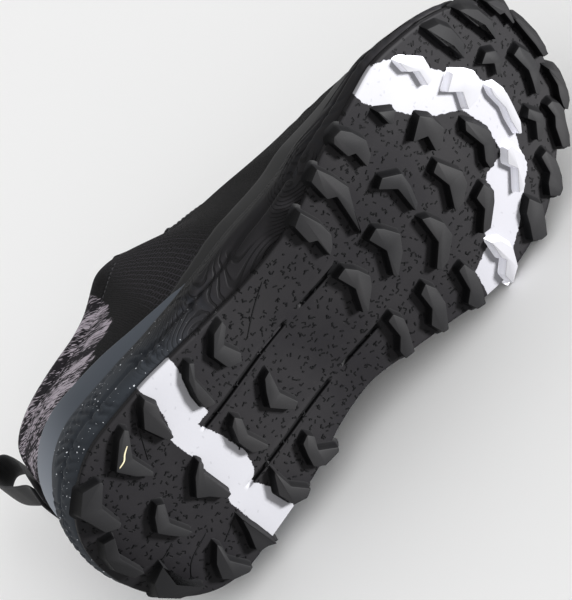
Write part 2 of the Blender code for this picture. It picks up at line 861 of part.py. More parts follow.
def make_strand(name, points):
    sections = flat_tube(points)
    vertices = [point for section in sections for point in section]
    faces = ring_walls(sections)
    size = len(sections[0])
    faces.append(tuple(range(size)))
    faces.append(tuple(reversed(range(len(vertices) - size, len(vertices)))))
    return new_object(name, vertices, faces, (0.03, 0.03, 0.032), 0.8)


def make_laces():
    """Crossings of the lace and its first bar, joined."""
    laces = make_strand("laces", lace_strand(1))
    merge_solid(laces, make_strand("second_strand", lace_strand(-1)), "UNION")
    front = eyelet_turns()[-1]
    bar = lace_points(front, 1) + lace_points(front, -1)[::-1]
    merge_solid(laces, make_strand("bar", bar), "UNION")
    return laces


# Pull loop at the heel

# Bow of the loop from the collar's top to the sewn end: shares of its height and of its depth
LOOP_BOW = table("up back", (
    (0.30, -0.12),
    (0.62, -0.10),
    (0.88, 0.10),
    (1.00, 0.42),
    (0.92, 0.78),
    (0.68, 0.98),
    (0.38, 0.92),
    (0.08, 0.62),
))


def make_pull_loop():
    """Folded ribbon sewn to the back of the heel, one end over the other, that stands up as a loop."""
    half = LOOP_THICKNESS / 2.0
    lift = 2.0 * GAP + half
    under = [upper_point(0.0, 1, up, lift) for up in (0.60, 0.70, 0.80, 0.90, 1.0)]
    over = [upper_point(0.0, 1, up, lift + LOOP_THICKNESS + GAP) for up in (0.88, 0.80, 0.70, 0.60)]
    start = under[-1]
    bow = [
        start + np.array((-LOOP_DEPTH * back, 0.0, LOOP_HEIGHT * up))
        for up, back in zip(LOOP_BOW["up"], LOOP_BOW["back"])]
    path = under + bow + over
    sections = []
    for i, point in enumerate(path):
        before = path[max(i - 1, 0)]
        after = path[min(i + 1, len(path) - 1)]
        along = (after - before) / np.linalg.norm(after - before)
        thick = np.array((-along[2], 0.0, along[0])) * half
        wide = np.array((0.0, LOOP_WIDTH / 2.0, 0.0))
        sections.append([point - thick - wide, point + thick - wide, point + thick + wide, point - thick + wide])
    vertices = [point for section in sections for point in section]
    faces = ring_walls(sections)
    faces.append((0, 1, 2, 3))
    faces.append(tuple(reversed(range(len(vertices) - 4, len(vertices)))))
    return new_object("pull_loop", vertices, faces, (0.02, 0.02, 0.022), 0.8)


# Laying the shoe on its outer side

def centre_of_volume(pieces):
    """Centre of the volume of all pieces."""
    total = 0.0
    moment = Vector((0.0, 0.0, 0.0))
    for piece in pieces:
        work = bmesh.new()
        work.from_mesh(piece.data)
        bmesh.ops.triangulate(work, faces=work.faces)
        for face in work.faces:
            a, b, c = [corner.co for corner in face.verts]
            volume = a.dot(b.cross(c)) / 6.0
            total += volume
            moment += (a + b + c) * volume / 4.0
        work.free()
    return moment / total


def resting_face(pieces):
    """Plane on the outer side that carries the shoe: its outward normal and one point."""
    centre = centre_of_volume(pieces)
    work = bmesh.new()
    for piece in pieces:
        for corner in piece.data.vertices:
            work.verts.new(corner.co)
    hull = bmesh.ops.convex_hull(work, input=work.verts)
    best = None
    for face in [item for item in hull["geom"] if isinstance(item, bmesh.types.BMFace)]:
        normal = face.normal.copy()
        if normal.dot(face.calc_center_median() - centre) < 0.0:
            normal.negate()
        if normal.y < 0.7:
            continue
        foot = centre + normal * normal.dot(face.verts[0].co - centre)
        room = min(
            abs((b.co - a.co).cross(foot - a.co).dot(normal)) / (b.co - a.co).length
            * (1.0 if (b.co - a.co).cross(foot - a.co).dot((b.co - a.co).cross(centre_of(face) - a.co)) > 0.0
               else -1.0)
            for a, b in corner_pairs(face))
        if best is None or room > best[0]:
            best = (room, normal, face.verts[0].co.copy())
    work.free()
    return best[1], best[2]


def centre_of(face):
    return face.calc_center_median()


def corner_pairs(face):
    corners = list(face.verts)
    return zip(corners, corners[1:] + corners[:1])


def lay_on_side(pieces):
    """Turn all pieces so that the resting face is the floor and the sole's length lies along X."""
    normal, point = resting_face(pieces)
    up = -normal
    forward = Vector((1.0, 0.0, 0.0))
    forward = (forward - up * forward.dot(up)).normalized()
    left = up.cross(forward)
    turn = Matrix((forward, left, up)).to_4x4()
    for piece in pieces:
        piece.data.transform(turn)
    low = Vector([min(corner.co[i] for piece in pieces for corner in piece.data.vertices) for i in range(3)])
    high = Vector([max(corner.co[i] for piece in pieces for corner in piece.data.vertices) for i in range(3)])
    shift = Vector((-0.5 * (low.x + high.x), -0.5 * (low.y + high.y), -low.z))
    for piece in pieces:
        piece.data.transform(Matrix.Translation(shift))


def main():
    for item in list(bpy.data.objects):
        bpy.data.objects.remove(item)
    pieces = [
        make_outsole(),
        make_midsole(),
        make_insole(),
        make_upper(),
        make_heel_cradle(),
        make_toe_guard(),
        make_tongue(),
        make_laces(),
        make_pull_loop(),
    ]
    lay_on_side(pieces)


main()
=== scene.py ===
# %% [markdown]
# A trail running shoe that lies on its outer side, with its tread towards the camera. The CAD model
# gives the frame: every piece made here takes its place from it and replaces a plain solid of it.
# The shoe has rows of rubber lugs, a foam midsole with carved lines, a knit upper with film
# panels, laces, a padded tongue and a ribbon loop at the heel.

# %% Load the frame
import json
import math

import bmesh
import bpy
import numpy as np
from mathutils import Matrix, Vector, noise

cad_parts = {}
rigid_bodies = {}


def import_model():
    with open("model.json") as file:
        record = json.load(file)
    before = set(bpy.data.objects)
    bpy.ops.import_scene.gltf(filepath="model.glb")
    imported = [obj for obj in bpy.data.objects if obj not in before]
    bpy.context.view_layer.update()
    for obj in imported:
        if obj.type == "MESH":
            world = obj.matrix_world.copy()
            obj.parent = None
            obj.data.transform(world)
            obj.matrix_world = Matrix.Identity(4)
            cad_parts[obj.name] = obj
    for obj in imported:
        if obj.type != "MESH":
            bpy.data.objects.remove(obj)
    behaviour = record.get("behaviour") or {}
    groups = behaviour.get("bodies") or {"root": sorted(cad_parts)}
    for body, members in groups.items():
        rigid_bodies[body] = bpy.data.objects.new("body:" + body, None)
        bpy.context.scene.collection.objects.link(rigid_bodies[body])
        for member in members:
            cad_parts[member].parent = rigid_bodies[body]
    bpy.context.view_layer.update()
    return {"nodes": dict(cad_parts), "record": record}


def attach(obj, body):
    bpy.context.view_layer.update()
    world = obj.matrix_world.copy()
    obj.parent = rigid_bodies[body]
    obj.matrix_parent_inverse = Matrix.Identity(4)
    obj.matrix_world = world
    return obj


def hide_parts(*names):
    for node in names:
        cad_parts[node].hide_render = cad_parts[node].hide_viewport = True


def new_object(name, data):
    """New object of the scene that shows the data."""
    item = bpy.data.objects.new(name, data)
    bpy.context.scene.collection.objects.link(item)
    return item


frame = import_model()
print("CAD nodes:", sorted(frame["nodes"]))

# %% [markdown]
# The pieces are drawn in the shoe's own frame, as a shoemaker has it: x runs forward from the back
# of the heel, y to the outer side of the foot, z up from the ground that the lugs would stand on.
# The record names one lug under the ball of the foot and the direction that the tread faces. Those
# two facts place the shoe's own frame in the scene.

# %% The shoe's own frame
ball_mount = [mount for mount in frame["record"]["mounts"] if mount["name"] == "ball_tread"][0]
SHOE_UP = -np.array(ball_mount["axis"], float)
SHOE_UP /= np.linalg.norm(SHOE_UP)
SHOE_FORWARD = np.array((-SHOE_UP[2], 0.0, SHOE_UP[0]))
SHOE_FORWARD /= np.linalg.norm(SHOE_FORWARD)
SHOE_OUTER = np.cross(SHOE_UP, SHOE_FORWARD)
SHOE_AXES = np.stack((SHOE_FORWARD, SHOE_OUTER, SHOE_UP), axis=1)
BALL_LUG = np.array((0.178246, -0.001612, 0.0))
SHOE_PLACE = np.array(ball_mount["pos_m"], float) - SHOE_AXES @ BALL_LUG


def to_world(points):
    """Points of the shoe's own frame, in the scene."""
    return np.asarray(points, float) @ SHOE_AXES.T + SHOE_PLACE


print("Heel of the sole in the scene:", np.round(to_world((0.0, 0.0, 0.0)), 4))

# %% [markdown]
# The camera stands low in front of the tread and is rolled, so that the toe points to the upper
# right. A long lens far away keeps the shoe's proportions flat, as a product photograph does.

# %% Camera
CAMERA_PLACE = Vector((-0.10706, -1.34173, 1.33033))
CAMERA_AIM = Vector((-0.00876, -0.05429, 0.07620))
PICTURE_UP = Vector((0.75737, 0.42505, 0.49570))
SENSOR_HEIGHT = 24.0
FOCAL_IN_PICTURE_HEIGHTS = 7.2103

back = (CAMERA_PLACE - CAMERA_AIM).normalized()
right = PICTURE_UP.cross(back).normalized()
upwards = back.cross(right)
camera_data = bpy.data.cameras.new("picture_camera")
camera_data.sensor_fit = "VERTICAL"
camera_data.sensor_height = SENSOR_HEIGHT
camera_data.lens = SENSOR_HEIGHT * FOCAL_IN_PICTURE_HEIGHTS
camera = new_object("picture_camera", camera_data)
turn = Matrix((right, upwards, back)).transposed().to_4x4()
camera.matrix_world = Matrix.Translation(CAMERA_PLACE) @ turn
bpy.context.scene.camera = camera
print("Camera to aim: %.3f m" % (CAMERA_PLACE - CAMERA_AIM).length)

# %% [markdown]
# The light is that of a product table: a pale floor and an even pale surround. A key lamp stands low
# at the toe side, so that it meets the tread squarely and leaves the inner walls of the lugs dark. Light
# linking lets the lamps shine on the shoe alone, which keeps the floor even, as on a white sweep.

# %% Floor and light
FLOOR_SIZE = 6.0


def make_floor():
    """Pale floor that the shoe lies on."""
    half = FLOOR_SIZE / 2.0
    mesh = bpy.data.meshes.new("floor")
    mesh.from_pydata(
        [(-half, -half, 0), (half, -half, 0), (half, half, 0), (-half, half, 0)], [], [(0, 1, 2, 3)])
    floor = new_object("floor", mesh)
    material = bpy.data.materials.new("floor_paint")
    material.use_nodes = True
    shader = material.node_tree.nodes["Principled BSDF"]
    shader.inputs["Base Color"].default_value = (0.90, 0.90, 0.90, 1.0)
    shader.inputs["Roughness"].default_value = 0.9
    mesh.materials.append(material)


def add_lamp(name, place, aim, size, power):
    """Large square lamp that faces its aim."""
    lamp = bpy.data.lights.new(name, "AREA")
    lamp.size = size
    lamp.energy = power
    item = new_object(name, lamp)
    direction = Vector(aim) - Vector(place)
    item.matrix_world = Matrix.Translation(place) @ direction.to_track_quat("-Z", "Y").to_matrix().to_4x4()
    item.light_linking.receiver_collection = lit_by_lamps


lit_by_lamps = bpy.data.collections.new("lit_by_lamps")
make_floor()
add_lamp("key_lamp", (1.9, -2.0, 0.26), (0.0, 0.0, 0.06), 0.5, 265.0)
add_lamp("rim_lamp", (0.9, 0.3, 1.2), (0.0, 0.0, 0.06), 0.5, 2.5)
world = bpy.data.worlds.new("surround")
world.use_nodes = True
world.node_tree.nodes["Background"].inputs["Color"].default_value = (1.0, 1.0, 1.0, 1.0)
world.node_tree.nodes["Background"].inputs["Strength"].default_value = 0.98
bpy.context.scene.world = world
bpy.context.scene.view_settings.view_transform = "Standard"

# %% [markdown]
# A shoe is drawn by a few curves: its outline on the ground, the line of the tread, the top edge of
# the midsole and the edge of the collar. Each is a short table of shares of a named size, and a
# smooth curve runs through its rows. A place on the shoe is one number from -1 to 1, once round it:
# 0 is the back of the heel, 1 the tip of the toe, and the minus side is the inner side of the foot.

# %% Smooth curves through tables
def between(first, last, first_slope, last_slope, step, t):
    """Point at a share t of a step, on the cubic curve with the given ends and slopes."""
    return (
        first * (1 + 2 * t) * (1 - t) ** 2 + first_slope * step * t * (1 - t) ** 2
        + last * t * t * (3 - 2 * t) + last_slope * step * t * t * (t - 1))


def smooth_line(places, values):
    """Give a smooth function through the rows of a table that never overshoots them."""
    x = np.array(places, float)
    y = np.array(values, float)
    step = np.diff(x)
    slope = np.diff(y) / step
    tangent = np.zeros(len(x))
    tangent[0] = slope[0]
    tangent[-1] = slope[-1]
    for i in range(1, len(x) - 1):
        if slope[i - 1] * slope[i] > 0.0:
            before = 2.0 * step[i] + step[i - 1]
            after = step[i] + 2.0 * step[i - 1]
            tangent[i] = (before + after) / (before / slope[i - 1] + after / slope[i])

    def value(at):
        at = np.clip(np.asarray(at, float), x[0], x[-1])
        i = np.minimum(np.searchsorted(x, at, side="right") - 1, len(step) - 1)
        t = (at - x[i]) / step[i]
        return between(y[i], y[i + 1], tangent[i], tangent[i + 1], step[i], t)

    return value


def bump(at, low, high):
    """Rise softly from 0 at low to 1 midway and back to 0 at high."""
    share = np.clip((np.asarray(at, float) - low) / (high - low), 0.0, 1.0)
    return np.sin(math.pi * share) ** 2


def ease(share):
    """Go softly from 0 to 1."""
    share = np.clip(share, 0.0, 1.0)
    return share * share * (3.0 - 2.0 * share)


def columns(rows):
    """Columns of a table of numbers."""
    return [list(column) for column in zip(*rows)]


# %% [markdown]
# The sole's sizes are in metres. The tables go from heel to toe, and hold half widths on each side of
# the middle line and the height of the foam above the ground.

# %% Sizes and tables of the sole
LENGTH = 0.290
BALL_WIDTH = 0.114
WAIST_WIDTH = 0.080
HEEL_WIDTH = 0.098
HEEL_ROUND = 0.045
TOE_ROUND = 0.065
TOE_SKEW = 0.004
TOE_SPRING = 0.024
HEEL_BEVEL = 0.008
ARCH_RISE = 0.003
LUG_HEIGHT = 0.005
RUBBER = 0.0026
HEEL_STACK = 0.038
BALL_STACK = 0.027
ARCH_FLARE = 0.008
ARCH_RIB = 0.0026
RIB_FRONT = 0.610
SIDE_STEP = 0.0022
TOE_TUCK = 0.0028
GAP = 0.0003

along, medial, lateral = columns((
    (0.00, 0.50 * HEEL_WIDTH, 0.50 * HEEL_WIDTH),
    (0.10, 0.51 * HEEL_WIDTH, 0.495 * HEEL_WIDTH),
    (0.17, 0.51 * HEEL_WIDTH, 0.485 * HEEL_WIDTH),
    (0.24, 0.505 * HEEL_WIDTH, 0.47 * HEEL_WIDTH),
    (0.31, 0.475 * HEEL_WIDTH, 0.45 * HEEL_WIDTH),
    (0.38, 0.53 * WAIST_WIDTH, 0.50 * WAIST_WIDTH),
    (0.45, 0.50 * WAIST_WIDTH, 0.478 * WAIST_WIDTH),
    (0.52, 0.515 * WAIST_WIDTH, 0.53 * WAIST_WIDTH),
    (0.59, 0.395 * BALL_WIDTH, 0.425 * BALL_WIDTH),
    (0.655, 0.458 * BALL_WIDTH, 0.480 * BALL_WIDTH),
    (0.724, 0.487 * BALL_WIDTH, 0.508 * BALL_WIDTH),
    (0.793, 0.500 * BALL_WIDTH, 0.508 * BALL_WIDTH),
    (0.862, 0.478 * BALL_WIDTH, 0.489 * BALL_WIDTH),
    (1.00, 0.45 * BALL_WIDTH, 0.45 * BALL_WIDTH),
))
medial_half = smooth_line(along, medial)
lateral_half = smooth_line(along, lateral)
along, height = columns((
    (0.00, 1.06 * HEEL_STACK),
    (0.12, 1.00 * HEEL_STACK),
    (0.28, 0.96 * HEEL_STACK),
    (0.45, 0.99 * HEEL_STACK),
    (0.58, 0.87 * HEEL_STACK),
    (0.72, 1.00 * BALL_STACK),
    (0.80, 0.86 * BALL_STACK),
    (0.87, 0.67 * BALL_STACK),
    (0.94, 0.54 * BALL_STACK),
    (1.00, 0.38 * BALL_STACK),
))
stack_above_ground = smooth_line(along, height)
height, outset = columns((
    (0.00, -0.3), (0.07, 0.35), (0.30, 1.0), (0.36, 0.45),
    (0.44, 0.9), (0.72, 0.5), (0.78, -0.15), (1.00, -1.0)))
side_outset = smooth_line(height, outset)


def tread_level(x):
    """Height of the lugs' tips."""
    share = np.asarray(x, float) / LENGTH
    spring = TOE_SPRING * np.maximum((share - 0.64) / 0.36, 0.0) ** 2
    bevel = HEEL_BEVEL * np.maximum((0.097 - share) / 0.097, 0.0) ** 2
    return spring + bevel + ARCH_RISE * bump(share, 0.26, 0.57)


def plate_level(x):
    """Height of the rubber between the lugs."""
    return tread_level(x) + LUG_HEIGHT


def midsole_top(x):
    """Height of the midsole's upper edge."""
    share = np.asarray(x, float) / LENGTH
    return TOE_SPRING * np.maximum((share - 0.64) / 0.36, 0.0) ** 2 + stack_above_ground(share)


# %% [markdown]
# From the tables come the outline on the ground, the direction that points out of it at each place,
# and how far the foam's side stands out there.

# %% Outline of the sole
def outline(place):
    """Points of the sole's outline at places round the shoe."""
    place = (np.asarray(place, float) + 1.0) % 2.0 - 1.0
    x = LENGTH * (1.0 - np.cos(math.pi * np.abs(place))) / 2.0
    half = np.where(place >= 0.0, lateral_half(x / LENGTH), medial_half(x / LENGTH))
    for rounded in (np.minimum(x / HEEL_ROUND, 1.0), np.minimum((LENGTH - x) / TOE_ROUND, 1.0)):
        half = half * np.sqrt(np.maximum(1.0 - (1.0 - rounded) ** 2, 0.0))
    skew = -TOE_SKEW * ease((x - 0.7 * LENGTH) / (0.3 * LENGTH))
    return np.stack((x, skew + np.where(place >= 0.0, half, -half)), axis=-1)


def outward(place):
    """Unit vectors in the ground plane that point out of the outline."""
    small = 0.004
    along = outline(np.asarray(place) + small) - outline(np.asarray(place) - small)
    along /= np.linalg.norm(along, axis=-1, keepdims=True)
    return np.stack((-along[..., 1], along[..., 0]), axis=-1)


def midsole_outset(place, height):
    """How far the midsole's side stands out from the sole's outline."""
    x = outline(place)[..., 0] / LENGTH
    inner = place < 0.0
    flare = ARCH_FLARE * np.where(inner, 1.0, 0.4) * bump(x, 0.24, 0.72)
    out = SIDE_STEP * side_outset(height) + flare * ease(height / 0.6)
    out = out - TOE_TUCK * height * ease((x - 0.6) / 0.25)
    rib = ease((x - 0.44) / 0.08) * ease((RIB_FRONT - x) / 0.005)
    return out + np.where(inner, ARCH_RIB * rib * bump(height, 0.0, 0.40) ** 0.6, 0.0)


check = outward(np.array((0.5, -0.5)))
print("Outward at the waist, outer and inner side:", np.round(check, 2).tolist())

# %% [markdown]
# The upper is one surface between two edges: its foot on the midsole and the edge of the collar and
# throat. At each place a curve with two handles joins them, which gives the belly of the wall. The
# same function draws the outside, the lining, the panels and the seams, so they always fit.

# %% Sizes and tables of the upper
WALL = 0.0020
OVERLAY = 0.0009
COLLAR_PAD = 0.0040
RIM = 0.0034
INSTEP_HEIGHT = 0.121
THROAT_HEIGHT = 0.0795
COLLAR_HEIGHT = 0.100
COLLAR_WIDTH = 0.072
THROAT_GAP = 0.030
EYELET_UP = 0.92
EYELET_TURNS = np.linspace(0.575, 0.90, 6)
INSTEP_RISE = INSTEP_HEIGHT - THROAT_HEIGHT
CORNER_RISE = 0.0065

turns, along, side, height = columns((
    (0.00, 0.030, 0.00 * COLLAR_WIDTH, 1.020 * COLLAR_HEIGHT),
    (0.10, 0.052, 0.26 * COLLAR_WIDTH, 1.015 * COLLAR_HEIGHT),
    (0.20, 0.120, 0.43 * COLLAR_WIDTH, 0.980 * COLLAR_HEIGHT),
    (0.30, 0.210, 0.49 * COLLAR_WIDTH, 0.960 * COLLAR_HEIGHT),
    (0.40, 0.297, 0.50 * COLLAR_WIDTH, 1.040 * COLLAR_HEIGHT),
    (0.48, 0.358, 0.44 * COLLAR_WIDTH, 1.170 * COLLAR_HEIGHT),
    (0.54, 0.405, 0.65 * THROAT_GAP, THROAT_HEIGHT + 1.000 * INSTEP_RISE),
    (0.62, 0.478, 0.51 * THROAT_GAP, THROAT_HEIGHT + 0.800 * INSTEP_RISE),
    (0.72, 0.560, 0.43 * THROAT_GAP, THROAT_HEIGHT + 0.510 * INSTEP_RISE),
    (0.82, 0.632, 0.36 * THROAT_GAP, THROAT_HEIGHT + 0.270 * INSTEP_RISE),
    (0.90, 0.680, 0.28 * THROAT_GAP, THROAT_HEIGHT + 0.110 * INSTEP_RISE),
    (0.96, 0.700, 0.15 * THROAT_GAP, THROAT_HEIGHT + 0.025 * INSTEP_RISE),
    (1.00, 0.706, 0.00 * THROAT_GAP, THROAT_HEIGHT),
))
opening_along = smooth_line(turns, [LENGTH * share for share in along])
opening_side = smooth_line(turns, side)
opening_height = smooth_line(turns, height)
turns, rise, belly, reach, drop = columns((
    (0.00, 0.24, 0.020, 0.030, 0.22),
    (0.10, 0.24, 0.025, 0.040, 0.22),
    (0.20, 0.25, 0.030, 0.050, 0.22),
    (0.30, 0.26, 0.030, 0.040, 0.22),
    (0.40, 0.26, 0.020, 0.060, 0.22),
    (0.50, 0.26, 0.000, 0.150, 0.15),
    (0.60, 0.24, -0.020, 0.200, 0.10),
    (0.70, 0.20, -0.040, 0.240, 0.10),
    (0.80, 0.19, -0.050, 0.300, 0.09),
    (0.90, 0.22, -0.050, 0.380, 0.08),
    (1.00, 0.25, -0.030, 0.440, 0.08),
))
profile_rise = smooth_line(turns, rise)
profile_belly = smooth_line(turns, belly)
profile_reach = smooth_line(turns, reach)
profile_drop = smooth_line(turns, drop)


def bare_point(place, up):
    """Points on the bare upper: up is 0 at the sole and 1 at the edge of the opening."""
    place, up = np.broadcast_arrays(np.asarray(place, float), np.asarray(up, float))
    place = (place + 1.0) % 2.0 - 1.0
    turn = np.abs(place)
    line = outline(place)
    out = outward(place)
    foot = np.empty(place.shape + (3,))
    foot[..., :2] = line + out * (midsole_outset(place, 1.0) - RIM)[..., None]
    foot[..., 2] = midsole_top(line[..., 0]) + GAP
    side = np.where(place >= 0.0, 1.0, -1.0)
    top = opening_height(turn) + CORNER_RISE * bump(turn, 0.35, 0.54)
    edge = np.stack((opening_along(turn), side * opening_side(turn), top), axis=-1)
    away = foot - edge
    away[..., 2] = 0.0
    away /= np.maximum(np.linalg.norm(away, axis=-1, keepdims=True), 1e-9)
    low = foot.copy()
    low[..., :2] += out * (profile_belly(turn) * COLLAR_HEIGHT)[..., None]
    low[..., 2] += profile_rise(turn) * COLLAR_HEIGHT
    high = edge + away * (profile_reach(turn) * COLLAR_HEIGHT)[..., None]
    high[..., 2] -= profile_drop(turn) * COLLAR_HEIGHT
    up = up[..., None]
    down = 1.0 - up
    return down ** 3 * foot + 3 * down ** 2 * up * low + 3 * down * up ** 2 * high + up ** 3 * edge


def upper_normal(place, up):
    """Unit normals of the bare upper, out of the shoe."""
    small = 0.01
    place, up = np.broadcast_arrays(np.asarray(place, float), np.asarray(up, float))
    along = bare_point(place + small, up) - bare_point(place - small, up)
    rise = bare_point(place, np.minimum(up + small, 1.0)) - bare_point(place, np.maximum(up - small, 0.0))
    normal = np.cross(rise, along)
    return normal / np.linalg.norm(normal, axis=-1, keepdims=True)


def upper_point(place, up, lift):
    """Points off the bare upper by lift along its normal."""
    lift = np.asarray(lift, float)
    return bare_point(place, up) + upper_normal(place, up) * lift[..., None]


def collar_pad(turn, up):
    """Padding inside the collar."""
    return COLLAR_PAD * ease((0.52 - turn) / 0.12) * bump(up, 0.45, 1.25)


print("Collar's height: %.1f mm" % (1000.0 * bare_point(0.0, 1.0)[2]))

# %% [markdown]
# Most pieces are sheets: a grid of points, joined into faces, with one UV map in metres along the
# surface. A pattern on that map follows the piece as cloth does. Two grids, one behind the other,
# close into a solid with real thickness.

# %% Meshes from grids
FLOOR_CONTACT = 0.0001


def add_piece(name, vertices, faces, material, uv=None, marks=None):
    """Make one piece from points of the shoe's own frame, pressed flat where it rests on the floor."""
    mesh = bpy.data.meshes.new(name)
    places = to_world(vertices)
    places[:, 2] = np.maximum(places[:, 2], FLOOR_CONTACT)
    mesh.from_pydata(places.tolist(), [], [tuple(int(i) for i in face) for face in faces])
    work = bmesh.new()
    work.from_mesh(mesh)
    bmesh.ops.recalc_face_normals(work, faces=work.faces)
    work.to_mesh(mesh)
    work.free()
    mesh.materials.append(material)
    if uv is not None:
        corners = np.zeros(len(mesh.loops), int)
        mesh.loops.foreach_get("vertex_index", corners)
        layer = mesh.uv_layers.new(name="surface")
        layer.data.foreach_set("uv", np.asarray(uv, float)[corners].ravel())
    for key, values in (marks or {}).items():
        layer = mesh.attributes.new(key, "FLOAT", "POINT")
        layer.data.foreach_set("value", np.asarray(values, float))
    mesh.polygons.foreach_set("use_smooth", [True] * len(mesh.polygons))
    piece = new_object(name, mesh)
    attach(piece, "root")
    return piece


def grid_faces(long, wide, first=0, closed=False, flip=False):
    """Quads of a grid of points, row after row; closed joins the last column to the first."""
    count = long if closed else long - 1
    i, j = np.meshgrid(np.arange(count), np.arange(wide - 1), indexing="ij")
    k = (i + 1) % long
    quads = np.stack((i * wide + j, k * wide + j, k * wide + j + 1, i * wide + j + 1), axis=-1).reshape(-1, 4)
    quads = quads + first
    return quads[:, ::-1] if flip else quads


def surface_map(points):
    """Lengths along both ways of a grid, in metres."""
    long_steps = np.linalg.norm(np.diff(points, axis=0), axis=-1)
    middle = long_steps[:, points.shape[1] // 2]
    along = np.concatenate(([0.0], np.cumsum(middle)))
    wide_steps = np.linalg.norm(np.diff(points, axis=1), axis=-1)
    across = np.concatenate((np.zeros((points.shape[0], 1)), np.cumsum(wide_steps, axis=1)), axis=1)
    return np.stack((np.broadcast_to(along[:, None], across.shape), across), axis=-1)


def grid_border(long, wide):
    """Numbers of the points round the edge of a grid."""
    border = [i * wide for i in range(long)]
    border += [(long - 1) * wide + j for j in range(1, wide)]
    border += [i * wide + wide - 1 for i in reversed(range(long - 1))]
    return border + list(reversed(range(1, wide - 1)))


def closed_sheets(near, far):
    """Points, faces and UV map of the solid between two grids of the same size."""
    long, wide = near.shape[:2]
    size = long * wide
    edge = grid_border(long, wide)
    faces = grid_faces(long, wide).tolist() + grid_faces(long, wide, first=size, flip=True).tolist()
    faces += [(a, b, size + b, size + a) for a, b in zip(edge, edge[1:] + edge[:1])]
    vertices = np.concatenate((near.reshape(-1, 3), far.reshape(-1, 3)))
    uv = np.concatenate((surface_map(near).reshape(-1, 2), surface_map(far).reshape(-1, 2)))
    return vertices, faces, uv


# %% [markdown]
# Materials are small trees of nodes. This helper adds one node, sets its inputs and links those that
# are outputs of other nodes, so that each material reads from top to bottom as a recipe.

# %% Helpers for materials
def add_node(tree, kind, inputs=None, **settings):
    """Add a node, set its inputs by name or place, and link the inputs that are sockets."""
    made = tree.nodes.new(kind if "Node" in kind else "ShaderNode" + kind)
    for key, value in settings.items():
        setattr(made, key, value)
    for key, value in (inputs or {}).items():
        if isinstance(value, bpy.types.NodeSocket):
            tree.links.new(value, made.inputs[key])
        else:
            made.inputs[key].default_value = value
    return made


def math_node(tree, operation, first, second=0.0, third=0.0):
    """Number worked out from up to three numbers."""
    made = add_node(tree, "Math", {0: first, 1: second, 2: third}, operation=operation)
    return made.outputs[0]


def times(tree, first, second):
    """Product of two numbers."""
    return math_node(tree, "MULTIPLY", first, second)


def minus(tree, first, second):
    """Difference of two numbers."""
    return math_node(tree, "SUBTRACT", first, second)


def mix_colour(tree, share, low, high):
    """Blend two colours by a share."""
    made = add_node(tree, "Mix", {0: share, 6: low, 7: high}, data_type="RGBA")
    return made.outputs[2]


def soft_step(tree, value, low, high):
    """Go from 0 at low to 1 at high."""
    made = add_node(
        tree, "MapRange", {0: value, 1: low, 2: high, 3: 0.0, 4: 1.0}, interpolation_type="SMOOTHSTEP")
    return made.outputs[0]


def scaled_map(tree, source, scale, offset=(0.0, 0.0, 0.0)):
    """Coordinates times a scale for each axis."""
    made = add_node(tree, "Mapping", {"Vector": source, "Scale": scale, "Location": offset})
    return made.outputs[0]


def noise_of(tree, vector, scale, detail=2.0, roughness=0.5):
    """Noise texture's value."""
    made = add_node(
        tree, "TexNoise",
        {"Vector": vector, "Scale": scale, "Detail": detail, "Roughness": roughness})
    return made.outputs[0]


def new_material(name, roughness=0.7):
    """Material with its tree, its shader, places in the scene and its UV map."""
    material = bpy.data.materials.new(name)
    material.use_nodes = True
    tree = material.node_tree
    shader = tree.nodes["Principled BSDF"]
    shader.inputs["Roughness"].default_value = roughness
    place = add_node(tree, "TexCoord")
    return material, tree, shader, place.outputs["Object"], place.outputs["UV"]


def attribute_of(tree, name):
    """Number stored at the points of a piece."""
    return add_node(tree, "Attribute", attribute_name=name).outputs["Fac"]


def relief(tree, shader, height, distance, strength=1.0):
    """Bump from a height between 0 and 1."""
    made = add_node(tree, "Bump", {"Height": height, "Distance": distance, "Strength": strength})
    tree.links.new(made.outputs[0], shader.inputs["Normal"])


def paint(tree, shader, colour, specular, sheen=0.0):
    """Give a material its colour, how much it shines and a soft sheen."""
    tree.links.new(colour, shader.inputs["Base Color"])
    shader.inputs["Specular IOR Level"].default_value = specular
    shader.inputs["Sheen Weight"].default_value = sheen


print("Helpers ready")
